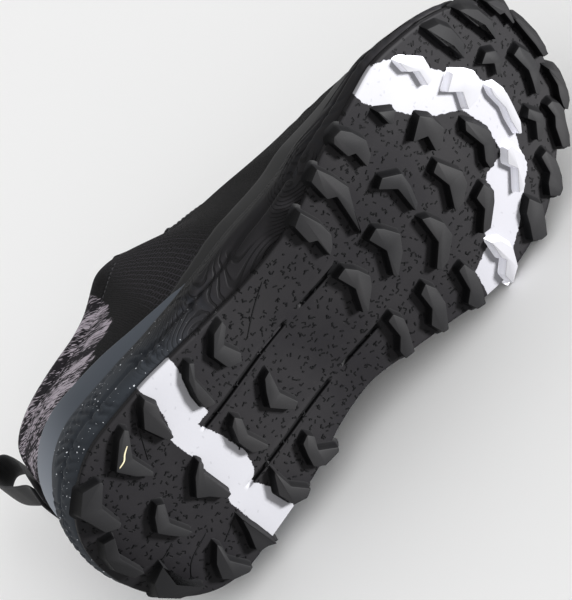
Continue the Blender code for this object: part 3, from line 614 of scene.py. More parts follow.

# %% [markdown]
# The tread is rubber: a plate with lugs of about 5 mm. Each lug has its own arrow shape, so each is
# drawn by the corners of its tip in millimetres, forward and to the outer side. The corners were
# picked on the picture. The walls lean out towards the plate and end in a small fillet, as
# they must to leave the mould. Two bands of white rubber run across the tread, and their ragged
# edges follow an outline picked in the same way.

# %% Lugs of the tread
LUG_TIPS = (
    ((285.5, -27), (289, -23), (290, -16), (289, -12.5), (287.5, -9), (286.5, -9.5), (287.5, -16),
     (285.5, -17.5)),
    ((288.5, -9.5), (289.5, -8.5), (290, -3), (289.5, 6.5), (287.5, 14), (285, 12.5), (286.5, 6),
     (287.5, -2)),
    ((282.5, 17), (284.5, 22), (284, 26), (281.5, 31.5), (279, 34.5), (275, 36), (274.5, 33.5), (277, 29),
     (280, 25.5)),
    ((274.5, -37.5), (277, -35), (280.5, -29), (281, -20.5), (278.5, -16), (276, -14), (277.5, -22.5),
     (275, -25)),
    ((281, -1.5), (282, 5), (281, 9.5), (278.5, 13.5), (275, 17), (271.5, 19), (270.5, 17.5), (273.5, 13),
     (276, 8.5), (276.5, -2)),
    ((273, 26.5), (274.5, 30.5), (274, 34), (270.5, 38), (267, 43), (263.5, 46), (261, 42.5),
     (265.5, 34.5), (269, 31.5), (270, 25.5)),
    ((259, -47), (264.5, -43), (266.5, -36.5), (265.5, -27.5), (260.5, -23.5), (261.5, -31.5),
     (259.5, -34)),
    ((269, -15.5), (272.5, -11.5), (271, -6), (266, -3.5), (265, -5), (268, -9), (264, -14.5)),
    ((263.5, 17.5), (266, 25), (263.5, 29), (257, 31), (256, 29.5), (261.5, 24), (260, 19.5)),
    ((255, 36), (255, 42.5), (251.5, 49.5), (247.5, 53.5), (244.5, 54), (241.5, 49.5), (245, 45.5),
     (249, 43.5), (251.5, 35.5)),
    ((241, -7.5), (243, -2.5), (245, 6.5), (242, 10.5), (235, 17), (233, 16), (234, 12), (238.5, 7),
     (238, -4.5)),
    ((234.5, 41), (236.5, 48.5), (231.5, 55), (228, 59), (225, 58), (222, 54.5), (226, 49), (229, 44)),
    ((219, -46), (224.5, -39.5), (219.5, -36.5), (218.5, -38)),
    ((229.5, -28), (232.5, -22.5), (232.5, -14.5), (226.5, -10), (223, -11.5), (225.5, -19),
     (219.5, -23.5)),
    ((220, -8), (224, 5), (221.5, 10.5), (214, 14.5), (210.5, 14), (210, 12.5), (216, 3.5),
     (215.5, -6.5)),
    ((226, 17.5), (227, 23.5), (223.5, 27), (214, 33), (210, 31.5), (213, 29), (218.5, 25),
     (219.5, 18.5)),
    ((199, -56), (203, -55.5), (205.5, -50.5), (207, -42.5), (203.5, -36.5), (199, -34.5), (200, -43),
     (197, -45), (197, -54)),
    ((199.5, -25.5), (206.5, -19), (205, -12), (201.5, -4), (198.5, -2.5), (200.5, -16), (195, -23.5)),
    ((200.5, 5), (202.5, 12.5), (201, 19.5), (192, 25.5), (187, 26), (186, 23.5), (195, 16),
     (197.5, 2.5)),
    ((195, 33), (195.5, 41), (192.5, 47.5), (188.5, 54), (184.5, 52.5), (183.5, 47), (188.5, 43.5),
     (191.5, 33)),
    ((184.5, -53), (186.5, -45), (187.5, -35.5), (183.5, -29), (176.5, -16.5), (181.5, -37), (178, -40),
     (179, -51)),
    ((182, -12.5), (184, -9.5), (187, -1.5), (182, 5), (173, 11), (172, 9), (178, -1.5), (176.5, -11.5)),
    ((178, 24), (179.5, 29.5), (177.5, 38), (170, 47.5), (167.5, 46.5), (166.5, 39.5), (172, 34.5),
     (173.5, 25.5)),
    ((166.5, -46), (168.5, -34.5), (168, -27.5), (164.5, -23.5), (161, -21.5), (162.5, -31),
     (159.5, -33.5), (160.5, -43.5)),
    ((161, -12), (164, -6.5), (165.5, 0), (162.5, 4), (154, 10.5), (152, 9), (157.5, -1.5), (156, -11.5)),
    ((159.5, 21), (161, 26.5), (159, 31.5), (153.5, 41.5), (149, 40.5), (149.5, 36), (154.5, 31),
     (156, 21.5)),
    ((111.5, -40.5), (111, -37.5), (104.5, -33), (106.5, -24), (104, -21), (98.5, -24.5), (98, -33.5),
     (105.5, -40)),
    ((108, -7.5), (104, 3), (106, 13), (102.5, 14), (99, 8), (96.5, 3.5), (100.5, -2.5), (104.5, -7)),
    ((97.5, 26.5), (99, 30), (95.5, 35.5), (102, 43), (100.5, 44.5), (92.5, 43), (89, 38.5), (91, 33),
     (93.5, 27.5)),
    ((89.5, -41.5), (91, -39.5), (86, -34.5), (84, -20), (83, -19.5), (79.5, -22), (80.5, -28),
     (84, -36.5)),
    ((84, -8), (85.5, -4.5), (82, 2.5), (84, 14), (82.5, 14.5), (77.5, 10), (77, 1.5), (80.5, -6)),
    ((77, 24.5), (76.5, 35.5), (81, 44), (77, 45.5), (71.5, 42.5), (70.5, 33.5), (75.5, 26)),
    ((66.5, -47.5), (68, -40.5), (64.5, -35), (62, -25), (59.5, -26), (57, -38.5), (63.5, -45.5)),
    ((60.5, -8), (61, -5.5), (58, -2.5), (58.5, 14.5), (56, 14.5), (52, 7), (48, 2.5), (54.5, -4.5)),
    ((53, 26.5), (54, 36.5), (54, 48), (51, 45.5), (47.5, 44), (46.5, 42), (50.5, 33.5)),
    ((51.5, -46), (52.5, -44), (44.5, -34), (45.5, -22), (44, -21), (39.5, -27.5), (36, -36),
     (47, -44.5)),
    ((35.5, -10.5), (38, -8), (33, 0), (36, 11.5), (32.5, 10.5), (29, 4), (26.5, -1.5), (31, -7.5)),
    ((38, 25), (38.5, 27.5), (36, 35), (40, 46), (37.5, 46.5), (31.5, 43), (28, 38), (31.5, 31)),
    ((28.5, -39.5), (29, -38), (20.5, -30), (20.5, -18), (18.5, -17), (13.5, -20.5), (12, -34.5),
     (20.5, -42)),
    ((9, -16.5), (14, -15.5), (8.5, -5.5), (10, 8), (5.5, 6.5), (3, -2), (4.5, -9.5)),
    ((17, 11.5), (14.5, 23), (21, 33.5), (17, 33), (10.5, 29.5), (5, 22), (8.5, 15.5)),
    ((242.5, -49), (248.5, -39), (248, -37), (245, -32), (241.5, -32.5), (243.5, -40), (240, -44.5),
     (240.5, -50.5)),
    ((257, -18), (259, -13), (256.5, -9), (251.5, -7.5), (245.5, -9), (249.5, -16), (245, -22.5),
     (252.5, -25)),
    ((259, -5), (261.5, -2.5), (262, 4), (260, 9.5), (257, 17), (253.5, 20.5), (252.5, 19.5),
     (254.5, 12.5), (257, 7), (257.5, -1.5)),
    ((244, 18.5), (246.5, 19.5), (247, 27.5), (242.5, 31.5), (236.5, 36), (233.5, 35), (241, 28),
     (239.5, 22.5)),
    ((209.5, 37.5), (213, 41), (214, 48), (209.5, 55.5), (202.5, 58.5), (203, 53), (208.5, 49),
     (207.5, 46.5)),
)

FOREFOOT_BAND = (
    (234, -57), (239, -53), (244, -45), (247, -35), (251, -27), (252, -20), (258, -13), (261, -2),
    (262, 5), (259, 13), (252, 21), (248, 27), (246, 34), (239, 38), (230, 43), (226, 46), (217, 50),
    (211, 53), (209, 62), (201, 62), (192, 57), (196, 43), (199, 42), (208, 40), (211, 35), (218, 34),
    (230, 19), (242, 20), (246, 5), (244, -9), (235, -18), (231, -23), (228, -28), (225, -36), (221, -44),
    (218, -52), (219, -62))
HEEL_BAND = (
    (86, -52), (86, -46), (84, -39), (81, -30), (79, -17), (72, -17), (74, -9), (75, -3), (76, 10),
    (73, 18), (68, 22), (71, 31), (71, 52), (55, 52), (55, 31), (55, 21), (58, 13), (59, 3), (60, -10),
    (60, -23), (65, -29), (68, -38), (68, -49), (70, -56))


def distance_inside(points, corners):
    """Signed distance in metres from points to the edge of an area: above 0 inside it."""
    points = np.asarray(points, float)[:, :2]
    corners = np.array(corners, float) / 1000.0
    nearest = np.full(len(points), 1.0)
    inside = np.zeros(len(points), bool)
    for a, b in zip(corners, np.roll(corners, -1, axis=0)):
        edge = b - a
        share = np.clip((points - a) @ edge / (edge @ edge), 0.0, 1.0)
        nearest = np.minimum(nearest, np.linalg.norm(points - a - share[:, None] * edge, axis=1))
        crosses = (a[1] > points[:, 1]) != (b[1] > points[:, 1])
        rise = edge[1] if abs(edge[1]) > 1e-9 else 1e-9
        inside ^= crosses & (points[:, 0] < a[0] + edge[0] * (points[:, 1] - a[1]) / rise)
    return np.where(inside, nearest, -nearest)


def white_band(points):
    """Distance inside the white bands, kept as a mark on each point of the tread."""
    return np.maximum(distance_inside(points, FOREFOOT_BAND), distance_inside(points, HEEL_BAND))


def offset_loop(loop, distance):
    """Closed loop of points moved out by a distance, with its corners kept."""
    before = loop - np.roll(loop, 1, axis=0)
    after = np.roll(loop, -1, axis=0) - loop
    before /= np.linalg.norm(before, axis=1, keepdims=True)
    after /= np.linalg.norm(after, axis=1, keepdims=True)
    first = np.stack((before[:, 1], -before[:, 0]), axis=1)
    second = np.stack((after[:, 1], -after[:, 0]), axis=1)
    middle = first + second
    middle /= np.maximum(np.linalg.norm(middle, axis=1, keepdims=True), 0.3)
    stretch = np.maximum((middle * first).sum(axis=1, keepdims=True), 0.5)
    return loop + middle / stretch * distance


def round_corners(corners, radius):
    """Replace each corner of a loop by three points of a small arc."""
    points = []
    for a, b, c in zip(np.roll(corners, 1, axis=0), corners, np.roll(corners, -1, axis=0)):
        reach = min(radius, 0.4 * np.linalg.norm(a - b), 0.4 * np.linalg.norm(c - b))
        start = b + (a - b) / np.linalg.norm(a - b) * reach
        end = b + (c - b) / np.linalg.norm(c - b) * reach
        points += [start, 0.25 * start + 0.5 * b + 0.25 * end, end]
    return np.array(points)


CORNER = 0.00045
# Direction across the tread towards the key lamp; it sets the painted shading of the lug walls.
KEY_ACROSS = np.array((0.64, 0.77))
SHARP = math.radians(32.0)
LUG_SECTION = (
    (0.00000, -0.00028),
    (0.00012, -0.00006),
    (0.00035, 0.00003),
    (0.00200, 0.00030),
    (0.00420, 0.00075),
    (0.00500, 0.00125),
    (0.00560, 0.00240),
)


def make_lugs(material):
    """All lugs of the tread, with soft edges at their tips and fillets at their feet."""
    vertices = []
    faces = []
    wall_painted_shadings = []
    bands = []
    for tip in LUG_TIPS:
        corners = np.array(tip, float) / 1000.0
        loop = round_corners(corners, CORNER)
        middle = corners.mean(axis=0)
        small = 0.0006
        slope = (tread_level(middle[0] + small) - tread_level(middle[0] - small)) / (2.0 * small)
        start = len(vertices)
        for depth, out in LUG_SECTION:
            ring = offset_loop(loop, out)
            plane = tread_level(middle[0]) + slope * (ring[:, 0] - middle[0])
            level = plane + (tread_level(ring[:, 0]) - plane) * ease(depth / LUG_HEIGHT)
            vertices += [(x, y, z + depth) for (x, y), z in zip(ring, level)]
            # Painted shading of each wall: more where the wall faces away from the key lamp.
            aside = offset_loop(loop, CORNER) - loop
            shade = 0.7 - 0.7 * (aside @ KEY_ACROSS) / np.linalg.norm(aside, axis=1)
            wall_painted_shadings.append(float(ease((depth - 0.00015) / 0.0003)) * np.clip(shade, 0.1, 1.0))
        size = len(loop)
        own_colour = 0.01 * float(np.sign(white_band([middle])[0]))
        bands += [own_colour] * (size * len(LUG_SECTION))
        faces.append([start + i for i in reversed(range(size))])
        for level in range(len(LUG_SECTION) - 1):
            for i in range(size):
                j = (i + 1) % size
                a = start + level * size
                faces.append((a + i, a + j, a + size + j, a + size + i))
        faces.append([start + (len(LUG_SECTION) - 1) * size + i for i in range(size)])
    vertices = np.array(vertices)
    piece = add_piece(
        "tread_lugs", vertices, faces, material, uv=vertices[:, :2],
        marks={"band": np.array(bands), "wall_painted_shading": np.concatenate(wall_painted_shadings)})
    piece.data.set_sharp_from_angle(angle=SHARP)
    print("Lugs:", len(LUG_TIPS), "with", len(piece.data.polygons), "faces")
    return piece


# %% [markdown]
# Four straight slits run along the arch and heel so that the plate can bend. The plate is a grid
# whose columns fall on the edges of the slits, which keeps their walls upright and their ends square.

# %% Plate of the tread
SLIT_SIDES = (-0.120, 0.190)
SLITS = (((0.248, 0.440), (0.475, 0.552)), ((0.225, 0.418), (0.450, 0.524)))
SLIT_END = 0.0008
SIDE_COLUMNS = 24
PLATE_STATIONS = 300
SLIT_PROFILE = ((-0.0023, 0.0), (-0.0016, -0.0003), (-0.0011, -0.0002), (-0.00095, 0.0009), (-0.0007, 0.0016),
                (0.0007, 0.0016), (0.00095, 0.0009), (0.0011, -0.0002), (0.0016, -0.0003), (0.0023, 0.0))


def make_plate(material):
    """Rubber plate under the midsole, with its slits and their small lips."""
    turns = np.linspace(0.012, 0.988, PLATE_STATIONS)
    inner = outline(-turns)
    outer = outline(turns)
    x = inner[:, 0]
    profile = np.array(SLIT_PROFILE)
    rows = []
    depths = []
    for i in range(PLATE_STATIONS):
        low = inner[i, 1] + 0.0001
        high = outer[i, 1] - 0.0001
        squeeze = min(1.0, (high - low) / 0.02)
        centres = [np.clip(side * BALL_WIDTH, low * 0.75, high * 0.75) for side in SLIT_SIDES]
        first, second = [centre + squeeze * profile[:, 0] for centre in centres]
        row = np.concatenate((
            np.linspace(low, first[0], SIDE_COLUMNS, endpoint=False), first,
            np.linspace(first[-1], second[0], SIDE_COLUMNS + 2)[1:-1], second,
            np.linspace(second[-1], high, SIDE_COLUMNS)[1:]))
        depth = np.zeros(len(row))
        for number, ends in enumerate(SLITS):
            column = SIDE_COLUMNS + number * (SIDE_COLUMNS + len(profile))
            for back_end, front_end in ends:
                inside = min((x[i] - back_end * LENGTH) / SLIT_END, (front_end * LENGTH - x[i]) / SLIT_END)
                depth[column:column + len(profile)] += float(np.clip(inside, 0.0, 1.0)) * profile[:, 1]
        rows.append(row)
        depths.append(depth)
    y = np.array(rows)
    wide = y.shape[1]
    x = np.broadcast_to(x[:, None], y.shape)
    z = plate_level(x) + np.array(depths)
    grid = np.stack((x, y, z), axis=-1)
    vertices = grid.reshape(-1, 3)
    faces = grid_faces(PLATE_STATIONS, wide).tolist()
    edge = grid_border(PLATE_STATIONS, wide)
    rim = vertices[edge]
    centre = np.array((0.5 * LENGTH, 0.0))
    count = len(edge)
    below = list(edge)
    start = len(vertices)
    out = rim[:, :2] - centre
    out /= np.linalg.norm(out, axis=1, keepdims=True)
    for rise, reach in ((0.0004, 0.0004), (RUBBER, 0.0003)):
        ring = rim.copy()
        ring[:, :2] += out * reach
        ring[:, 2] = plate_level(ring[:, 0]) + rise
        vertices = np.concatenate((vertices, ring))
        above = [start + i for i in range(count)]
        faces += [(below[i], above[i], above[(i + 1) % count], below[(i + 1) % count]) for i in range(count)]
        below = above
        start += count
    faces.append(below)
    # Mark for the painted shade in the slits: the material paints them near black.
    slit_painted_shade = np.zeros(len(vertices))
    slit_painted_shade[:y.size] = ease(np.array(depths).ravel() / 0.0006)
    piece = add_piece(
        "tread_plate", vertices, faces, material, uv=vertices[:, :2],
        marks={"band": white_band(vertices), "slit_painted_shade": slit_painted_shade})
    print("Plate faces:", len(piece.data.polygons))
    return piece


# %% [markdown]
# The rubber is black and dull, with a little dust, and the white bands are clean rubber of another
# mix. Between the lugs the mould has left hundreds of short cuts: dashes, and small V and L shapes. A
# Voronoi texture gives each of its cells a place and a random turn, and a stroke is drawn in it.
# The cuts and the slits are painted near black: painted shade inside them, while a bump gives the
# cuts their relief. Painted shade also darkens the white rubber at the front where it lies low, and
# the lug walls carry painted shading: darker on black rubber, paler on white.

# %% Rubber
def stroke_marks(tree, vector, cell, length, width, second=True):
    """Mask of small strokes, one or two joined in each cell, from 0 to 1."""
    cells = add_node(tree, "TexVoronoi", {"Vector": vector, "Scale": 1.0 / cell}, voronoi_dimensions="2D")
    shift = add_node(
        tree, "VectorMath", {0: vector, 1: cells.outputs["Position"]}, operation="SUBTRACT").outputs[0]
    chance = add_node(tree, "SeparateColor", {0: cells.outputs["Color"]})
    angle = times(tree, chance.outputs[0], 2.0 * math.pi)
    turned = add_node(
        tree, "VectorRotate", {"Vector": shift, "Angle": angle}, rotation_type="Z_AXIS").outputs[0]
    parts = add_node(tree, "SeparateXYZ", {0: turned})
    along = minus(tree, math_node(tree, "ABSOLUTE", parts.outputs[0]), length / 2.0)
    aside = minus(tree, math_node(tree, "ABSOLUTE", parts.outputs[1]), width / 2.0)
    distance = math_node(tree, "MAXIMUM", along, aside)
    if second:
        across = minus(tree, parts.outputs[0], length / 2.0)
        across = minus(tree, math_node(tree, "ABSOLUTE", across), width / 2.0)
        rise = minus(tree, parts.outputs[1], length / 3.0)
        rise = minus(tree, math_node(tree, "ABSOLUTE", rise), length / 3.0)
        away = math_node(tree, "LESS_THAN", chance.outputs[1], 0.35)
        other = math_node(tree, "ADD", math_node(tree, "MAXIMUM", across, rise), away)
        distance = math_node(tree, "MINIMUM", distance, other)
    blank = math_node(tree, "GREATER_THAN", chance.outputs[2], 0.62)
    distance = math_node(tree, "ADD", distance, blank)
    return soft_step(tree, distance, 0.00012, -0.00008)


def rubber_material(name, with_marks):
    """Black and white rubber of the tread, with painted shade and light on cuts, slits and walls."""
    material, tree, shader, place, uv = new_material(name, 0.58)
    band = attribute_of(tree, "band")
    frayed = minus(tree, noise_of(tree, place, 420.0, 5.0, 0.75), 0.5)
    band = math_node(tree, "MULTIPLY_ADD", frayed, 0.0030, band)
    white_share = soft_step(tree, band, -0.0001, 0.0001)
    cloud = noise_of(tree, place, 22.0, 5.0, 0.6)
    parts = add_node(tree, "SeparateXYZ", {0: place})
    # Painted shade: at the front, the white rubber turns darker where it lies low, near the floor.
    front = soft_step(tree, parts.outputs[0], 0.0, 0.05)
    painted_shade_near_floor = times(tree, front, soft_step(tree, parts.outputs[2], 0.100, 0.045))
    smooth_cloud = soft_step(tree, cloud, 0.35, 0.7)
    dust = noise_of(tree, place, 900.0, 3.0, 0.7)
    grain = times(tree, dust, 0.12)
    if with_marks:
        black = mix_colour(tree, smooth_cloud, (0.0068, 0.0064, 0.0074, 1), (0.0098, 0.0093, 0.0101, 1))
        white = mix_colour(tree, cloud, (0.225, 0.225, 0.241, 1), (0.260, 0.260, 0.276, 1))
        white = mix_colour(tree, painted_shade_near_floor, white, (0.220, 0.219, 0.236, 1))
        cut_marks_and_shade = stroke_marks(tree, uv, 0.0046, 0.0017, 0.0006)
        moved = scaled_map(tree, uv, (1, 1, 1), (0.31, 0.17, 0))
        fine = stroke_marks(tree, moved, 0.0061, 0.0012, 0.0006, False)
        cut_marks_and_shade = math_node(tree, "MAXIMUM", cut_marks_and_shade, fine)
        # The cuts are painted dark on white and near black on black rubber, and the slits too: painted shade
        # inside them.
        white = mix_colour(tree, times(tree, fine, 0.22), white, (0.09, 0.09, 0.10, 1))
        cut_marks_and_shade = times(tree, cut_marks_and_shade, minus(tree, 1.0, white_share))
        cut_marks_and_shade = math_node(tree, "MAXIMUM", cut_marks_and_shade, attribute_of(tree, "slit_painted_shade"))
        black = mix_colour(tree, cut_marks_and_shade, black, (0.0012, 0.0012, 0.0015, 1))
        grain = minus(tree, grain, times(tree, cut_marks_and_shade, 0.9))
    else:
        # Painted shading on the lug walls and marks: black turns darker, as if in shade, and white turns
        # pale, as if lit.
        wall_painted_shading = attribute_of(tree, "wall_painted_shading")
        tip = mix_colour(tree, smooth_cloud, (0.0095, 0.0095, 0.0102, 1), (0.0135, 0.0132, 0.0138, 1))
        black = mix_colour(tree, wall_painted_shading, tip, (0.0026, 0.0026, 0.003, 1))
        white = mix_colour(tree, painted_shade_near_floor, (0.235, 0.235, 0.250, 1), (0.205, 0.204, 0.217, 1))
        white = mix_colour(tree, wall_painted_shading, white, (0.93, 0.93, 1.0, 1))
    black = mix_colour(tree, soft_step(tree, dust, 0.64, 0.85), black, (0.02, 0.0195, 0.0195, 1))
    paint(tree, shader, mix_colour(tree, white_share, black, white), 0.09)
    relief(tree, shader, grain, 0.0003)
    return material


plate_rubber = rubber_material("plate_rubber", True)
lug_rubber = rubber_material("lug_rubber", False)
tread_plate = make_plate(plate_rubber)
make_lugs(lug_rubber)
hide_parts("outsole")

# %% [markdown]
# Some of the mould's marks stand up from the black rubber. They are the same small shape many hundred
# times, so Geometry Nodes scatter them: points on the plate with room between them, a dash or a V
# picked for each point, a random turn, and at the end real mesh in place of the instances. They are
# painted darker than the plate: painted shade, from the lug rubber's wall shading in full.

# %% Raised marks on the plate
def node_group(name, numbers):
    """Empty Geometry Nodes tree with named inputs for its sizes."""
    group = bpy.data.node_groups.new(name, "GeometryNodeTree")
    group.interface.new_socket("Geometry", in_out="INPUT", socket_type="NodeSocketGeometry")
    for key, kind in numbers:
        group.interface.new_socket(key, in_out="INPUT", socket_type="NodeSocket" + kind)
    group.interface.new_socket("Geometry", in_out="OUTPUT", socket_type="NodeSocketGeometry")
    entry = group.nodes.new("NodeGroupInput")
    end = group.nodes.new("NodeGroupOutput")
    return group, entry, end


def run_nodes(source, group, values):
    """Run a tree on an object with values for its inputs, and give the result as a plain mesh."""
    modifier = source.modifiers.new(group.name, "NODES")
    modifier.node_group = group
    for item in group.interface.items_tree:
        if item.item_type == "SOCKET" and item.in_out == "INPUT" and item.name in values:
            modifier[item.identifier] = values[item.name]
    bpy.context.view_layer.update()
    graph = bpy.context.evaluated_depsgraph_get()
    mesh = bpy.data.meshes.new_from_object(source.evaluated_get(graph))
    source.modifiers.remove(modifier)
    return mesh


def give_real_mesh(group, entry, end, placed):
    """Turn instances into real mesh of the tree's material, and give them out."""
    real = add_node(group, "GeometryNodeRealizeInstances", {0: placed.outputs[0]})
    coloured = add_node(group, "GeometryNodeSetMaterial", {
        0: real.outputs[0], "Material": entry.outputs["Material"]})
    group.links.new(coloured.outputs[0], end.inputs[0])
    return group


def marks_tree():
    """Scatter small dashes and V shapes over faces."""
    group, entry, end = node_group("raised_marks", (
        ("Spacing", "Float"), ("Length", "Float"), ("Width", "Float"), ("Height", "Float"), ("Seed", "Int"),
        ("Material", "Material")))
    points = add_node(group, "GeometryNodeDistributePointsOnFaces", {
        "Mesh": entry.outputs["Geometry"], "Distance Min": entry.outputs["Spacing"],
        "Density Max": 90000.0, "Seed": entry.outputs["Seed"]}, distribute_method="POISSON")
    size = add_node(group, "ShaderNodeCombineXYZ", {
        0: entry.outputs["Length"], 1: entry.outputs["Width"], 2: entry.outputs["Height"]})
    bar = add_node(group, "GeometryNodeMeshCube", {"Size": size.outputs[0]})
    shift = add_node(group, "ShaderNodeCombineXYZ", {
        0: times(group, entry.outputs["Length"], 0.36),
        1: times(group, entry.outputs["Length"], 0.42)})
    leg = add_node(group, "GeometryNodeTransform", {
        "Geometry": bar.outputs["Mesh"], "Translation": shift.outputs[0], "Rotation": (0.0, 0.0, 1.25)})
    vee = add_node(group, "GeometryNodeJoinGeometry")
    group.links.new(bar.outputs["Mesh"], vee.inputs[0])
    group.links.new(leg.outputs[0], vee.inputs[0])
    short = add_node(group, "GeometryNodeTransform", {
        "Geometry": bar.outputs["Mesh"], "Scale": (0.55, 1.0, 1.0)})
    choice = add_node(group, "GeometryNodeJoinGeometry")
    for shape in (bar.outputs["Mesh"], vee.outputs[0], short.outputs[0]):
        wrapped = add_node(group, "GeometryNodeGeometryToInstance", {0: shape})
        group.links.new(wrapped.outputs[0], choice.inputs[0])
    pick = add_node(group, "FunctionNodeRandomValue", {4: 0, 5: 2, 8: 5}, data_type="INT")
    spin = add_node(group, "FunctionNodeRandomValue", {2: 0.0, 3: 2.0 * math.pi, 8: 9}, data_type="FLOAT")
    about = add_node(group, "FunctionNodeAxisAngleToRotation", {0: (0.0, 0.0, 1.0), 1: spin.outputs[1]})
    turned = add_node(group, "FunctionNodeRotateRotation", {
        0: points.outputs["Rotation"], 1: about.outputs[0]}, rotation_space="LOCAL")
    placed = add_node(group, "GeometryNodeInstanceOnPoints", {
        "Points": points.outputs["Points"], "Instance": choice.outputs[0], "Pick Instance": True,
        "Instance Index": pick.outputs[2], "Rotation": turned.outputs[0]})
    return give_real_mesh(group, entry, end, placed)


def make_raised_marks():
    """Marks that stand up from the underside of the plate."""
    long = 160
    wide = 40
    turns = np.linspace(0.06, 0.94, long)
    share = np.linspace(0.04, 0.96, wide)
    inner = outline(-turns)
    outer = outline(turns)
    x = np.broadcast_to(inner[:, :1], (long, wide))
    y = inner[:, 1:] + (outer[:, 1:] - inner[:, 1:]) * share
    grid = np.stack((x, y, plate_level(x)), axis=-1).reshape(-1, 3)
    faces = grid_faces(long, wide, flip=True)
    black = white_band(grid[faces].mean(axis=1)) < -0.0008
    mesh = bpy.data.meshes.new("mark_ground")
    mesh.from_pydata(to_world(grid).tolist(), [], faces[black].tolist())
    ground = new_object("mark_ground", mesh)
    result = run_nodes(ground, marks_tree(), {
        "Spacing": 0.0036, "Length": 0.0017, "Width": 0.0005, "Height": 0.0007, "Seed": 4,
        "Material": lug_rubber})
    bpy.data.objects.remove(ground)
    # The marks get the lug rubber's painted wall shading in full, which paints them dark, as if in shade.
    for key, value in (("band", -0.02), ("wall_painted_shading", 1.0)):
        layer = result.attributes.new(key, "FLOAT", "POINT")
        layer.data.foreach_set("value", [value] * len(result.vertices))
    piece = new_object("tread_marks", result)
    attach(piece, "root")
    print("Raised marks:", len(result.polygons) // 6, "bars")


make_raised_marks()

# %% [markdown]
# The midsole is moulded foam. Its side has two steps and a rounded rib under the inner arch. Carved
# marks run round it: zigzag ridges at the heel, and fine waves like the contour lines of a map towards
# the toe, cut where a smooth noise crosses even heights. The relief is real in the mesh. The foam is
# dark blue grey with white specks at the heel, and turns black towards the toe. Painted shade darkens
# the carved marks, the fine wave lines drawn in the material and the top of the side towards the toe.

# %% Midsole
MIDSOLE_STATIONS = 640
MIDSOLE_ROWS = 40
WAVE_DEPTH = 0.0008
ZIGZAG_PITCH = 0.0048
ZIGZAG_REACH = 0.006
ZIGZAG_BENDS = 2.4
ZIGZAG_SWAY = 55.0


def contour_lines(points, size, count):
    """Height of carved contour lines between 0 and 1, from a smooth noise."""
    scale = Vector((1.0 / size[0], 1.0 / size[1], 1.0 / size[2]))
    values = np.array([noise.noise(Vector(point) * scale) for point in points])
    near = np.abs((values * count) % 1.0 - 0.5)
    return ease(1.0 - near / 0.22)


def make_midsole(material):
    """Foam midsole with its steps, its rib and the lines cut into it."""
    places = np.linspace(-1.0, 1.0, MIDSOLE_STATIONS, endpoint=False)
    heights = np.linspace(0.0, 1.0, MIDSOLE_ROWS)
    place = places[:, None] + 0.0 * heights
    height = heights + 0.0 * places[:, None]
    line = outline(places)
    out = outward(places)
    low = plate_level(line[:, 0]) + RUBBER + GAP
    high = midsole_top(line[:, 0])
    z = low[:, None] + (high - low)[:, None] * height
    reach = midsole_outset(place, height)
    x = line[:, :1] + out[:, :1] * reach
    y = line[:, 1:] + out[:, 1:] * reach
    grid = np.stack((x, y, z), axis=-1)
    points = grid.reshape(-1, 3)
    heel = ease((0.55 - points[:, 0] / LENGTH) / 0.2)
    around = surface_map(grid)[..., 0].ravel()
    rise = height.ravel()
    sway = np.array([noise.noise(Vector(point) * ZIGZAG_SWAY) for point in points])
    bend = np.abs((rise * ZIGZAG_BENDS) % 1.0 - 0.5) * ZIGZAG_REACH
    strip = ((around + bend + 0.004 * sway) / ZIGZAG_PITCH) % 1.0
    bold = ease((0.30 - np.abs(strip - 0.5)) / 0.16) * ease((sway + 0.25) / 0.3)
    fine = contour_lines(points, (0.040, 0.050, 0.015), 5.0)
    inside = bump(height.ravel(), 0.02, 0.98) ** 0.25
    smooth_band = ease((points[:, 0] / LENGTH - 0.36) / 0.06) * ease((0.62 - points[:, 0] / LENGTH) / 0.05)
    cut = WAVE_DEPTH * inside * (heel * bold + 0.6 * (1.0 - heel) * fine) * (1.0 - 0.75 * smooth_band)
    away = np.repeat(out, MIDSOLE_ROWS, axis=0)
    points[:, :2] -= away * cut[:, None]
    faces = grid_faces(MIDSOLE_STATIONS, MIDSOLE_ROWS, closed=True).tolist()
    faces.append([i * MIDSOLE_ROWS for i in range(MIDSOLE_STATIONS)])
    faces.append([i * MIDSOLE_ROWS + MIDSOLE_ROWS - 1 for i in reversed(range(MIDSOLE_STATIONS))])
    uv = surface_map(grid).reshape(-1, 2)
    # The carved depth goes to the material as a mark for painted shade.
    piece = add_piece(
        "carved_midsole", points, faces, material, uv=uv,
        marks={"forward": points[:, 0] / LENGTH, "carved_painted_shade": cut / WAVE_DEPTH, "rise": height.ravel()})
    print("Midsole faces:", len(piece.data.polygons))
    return piece


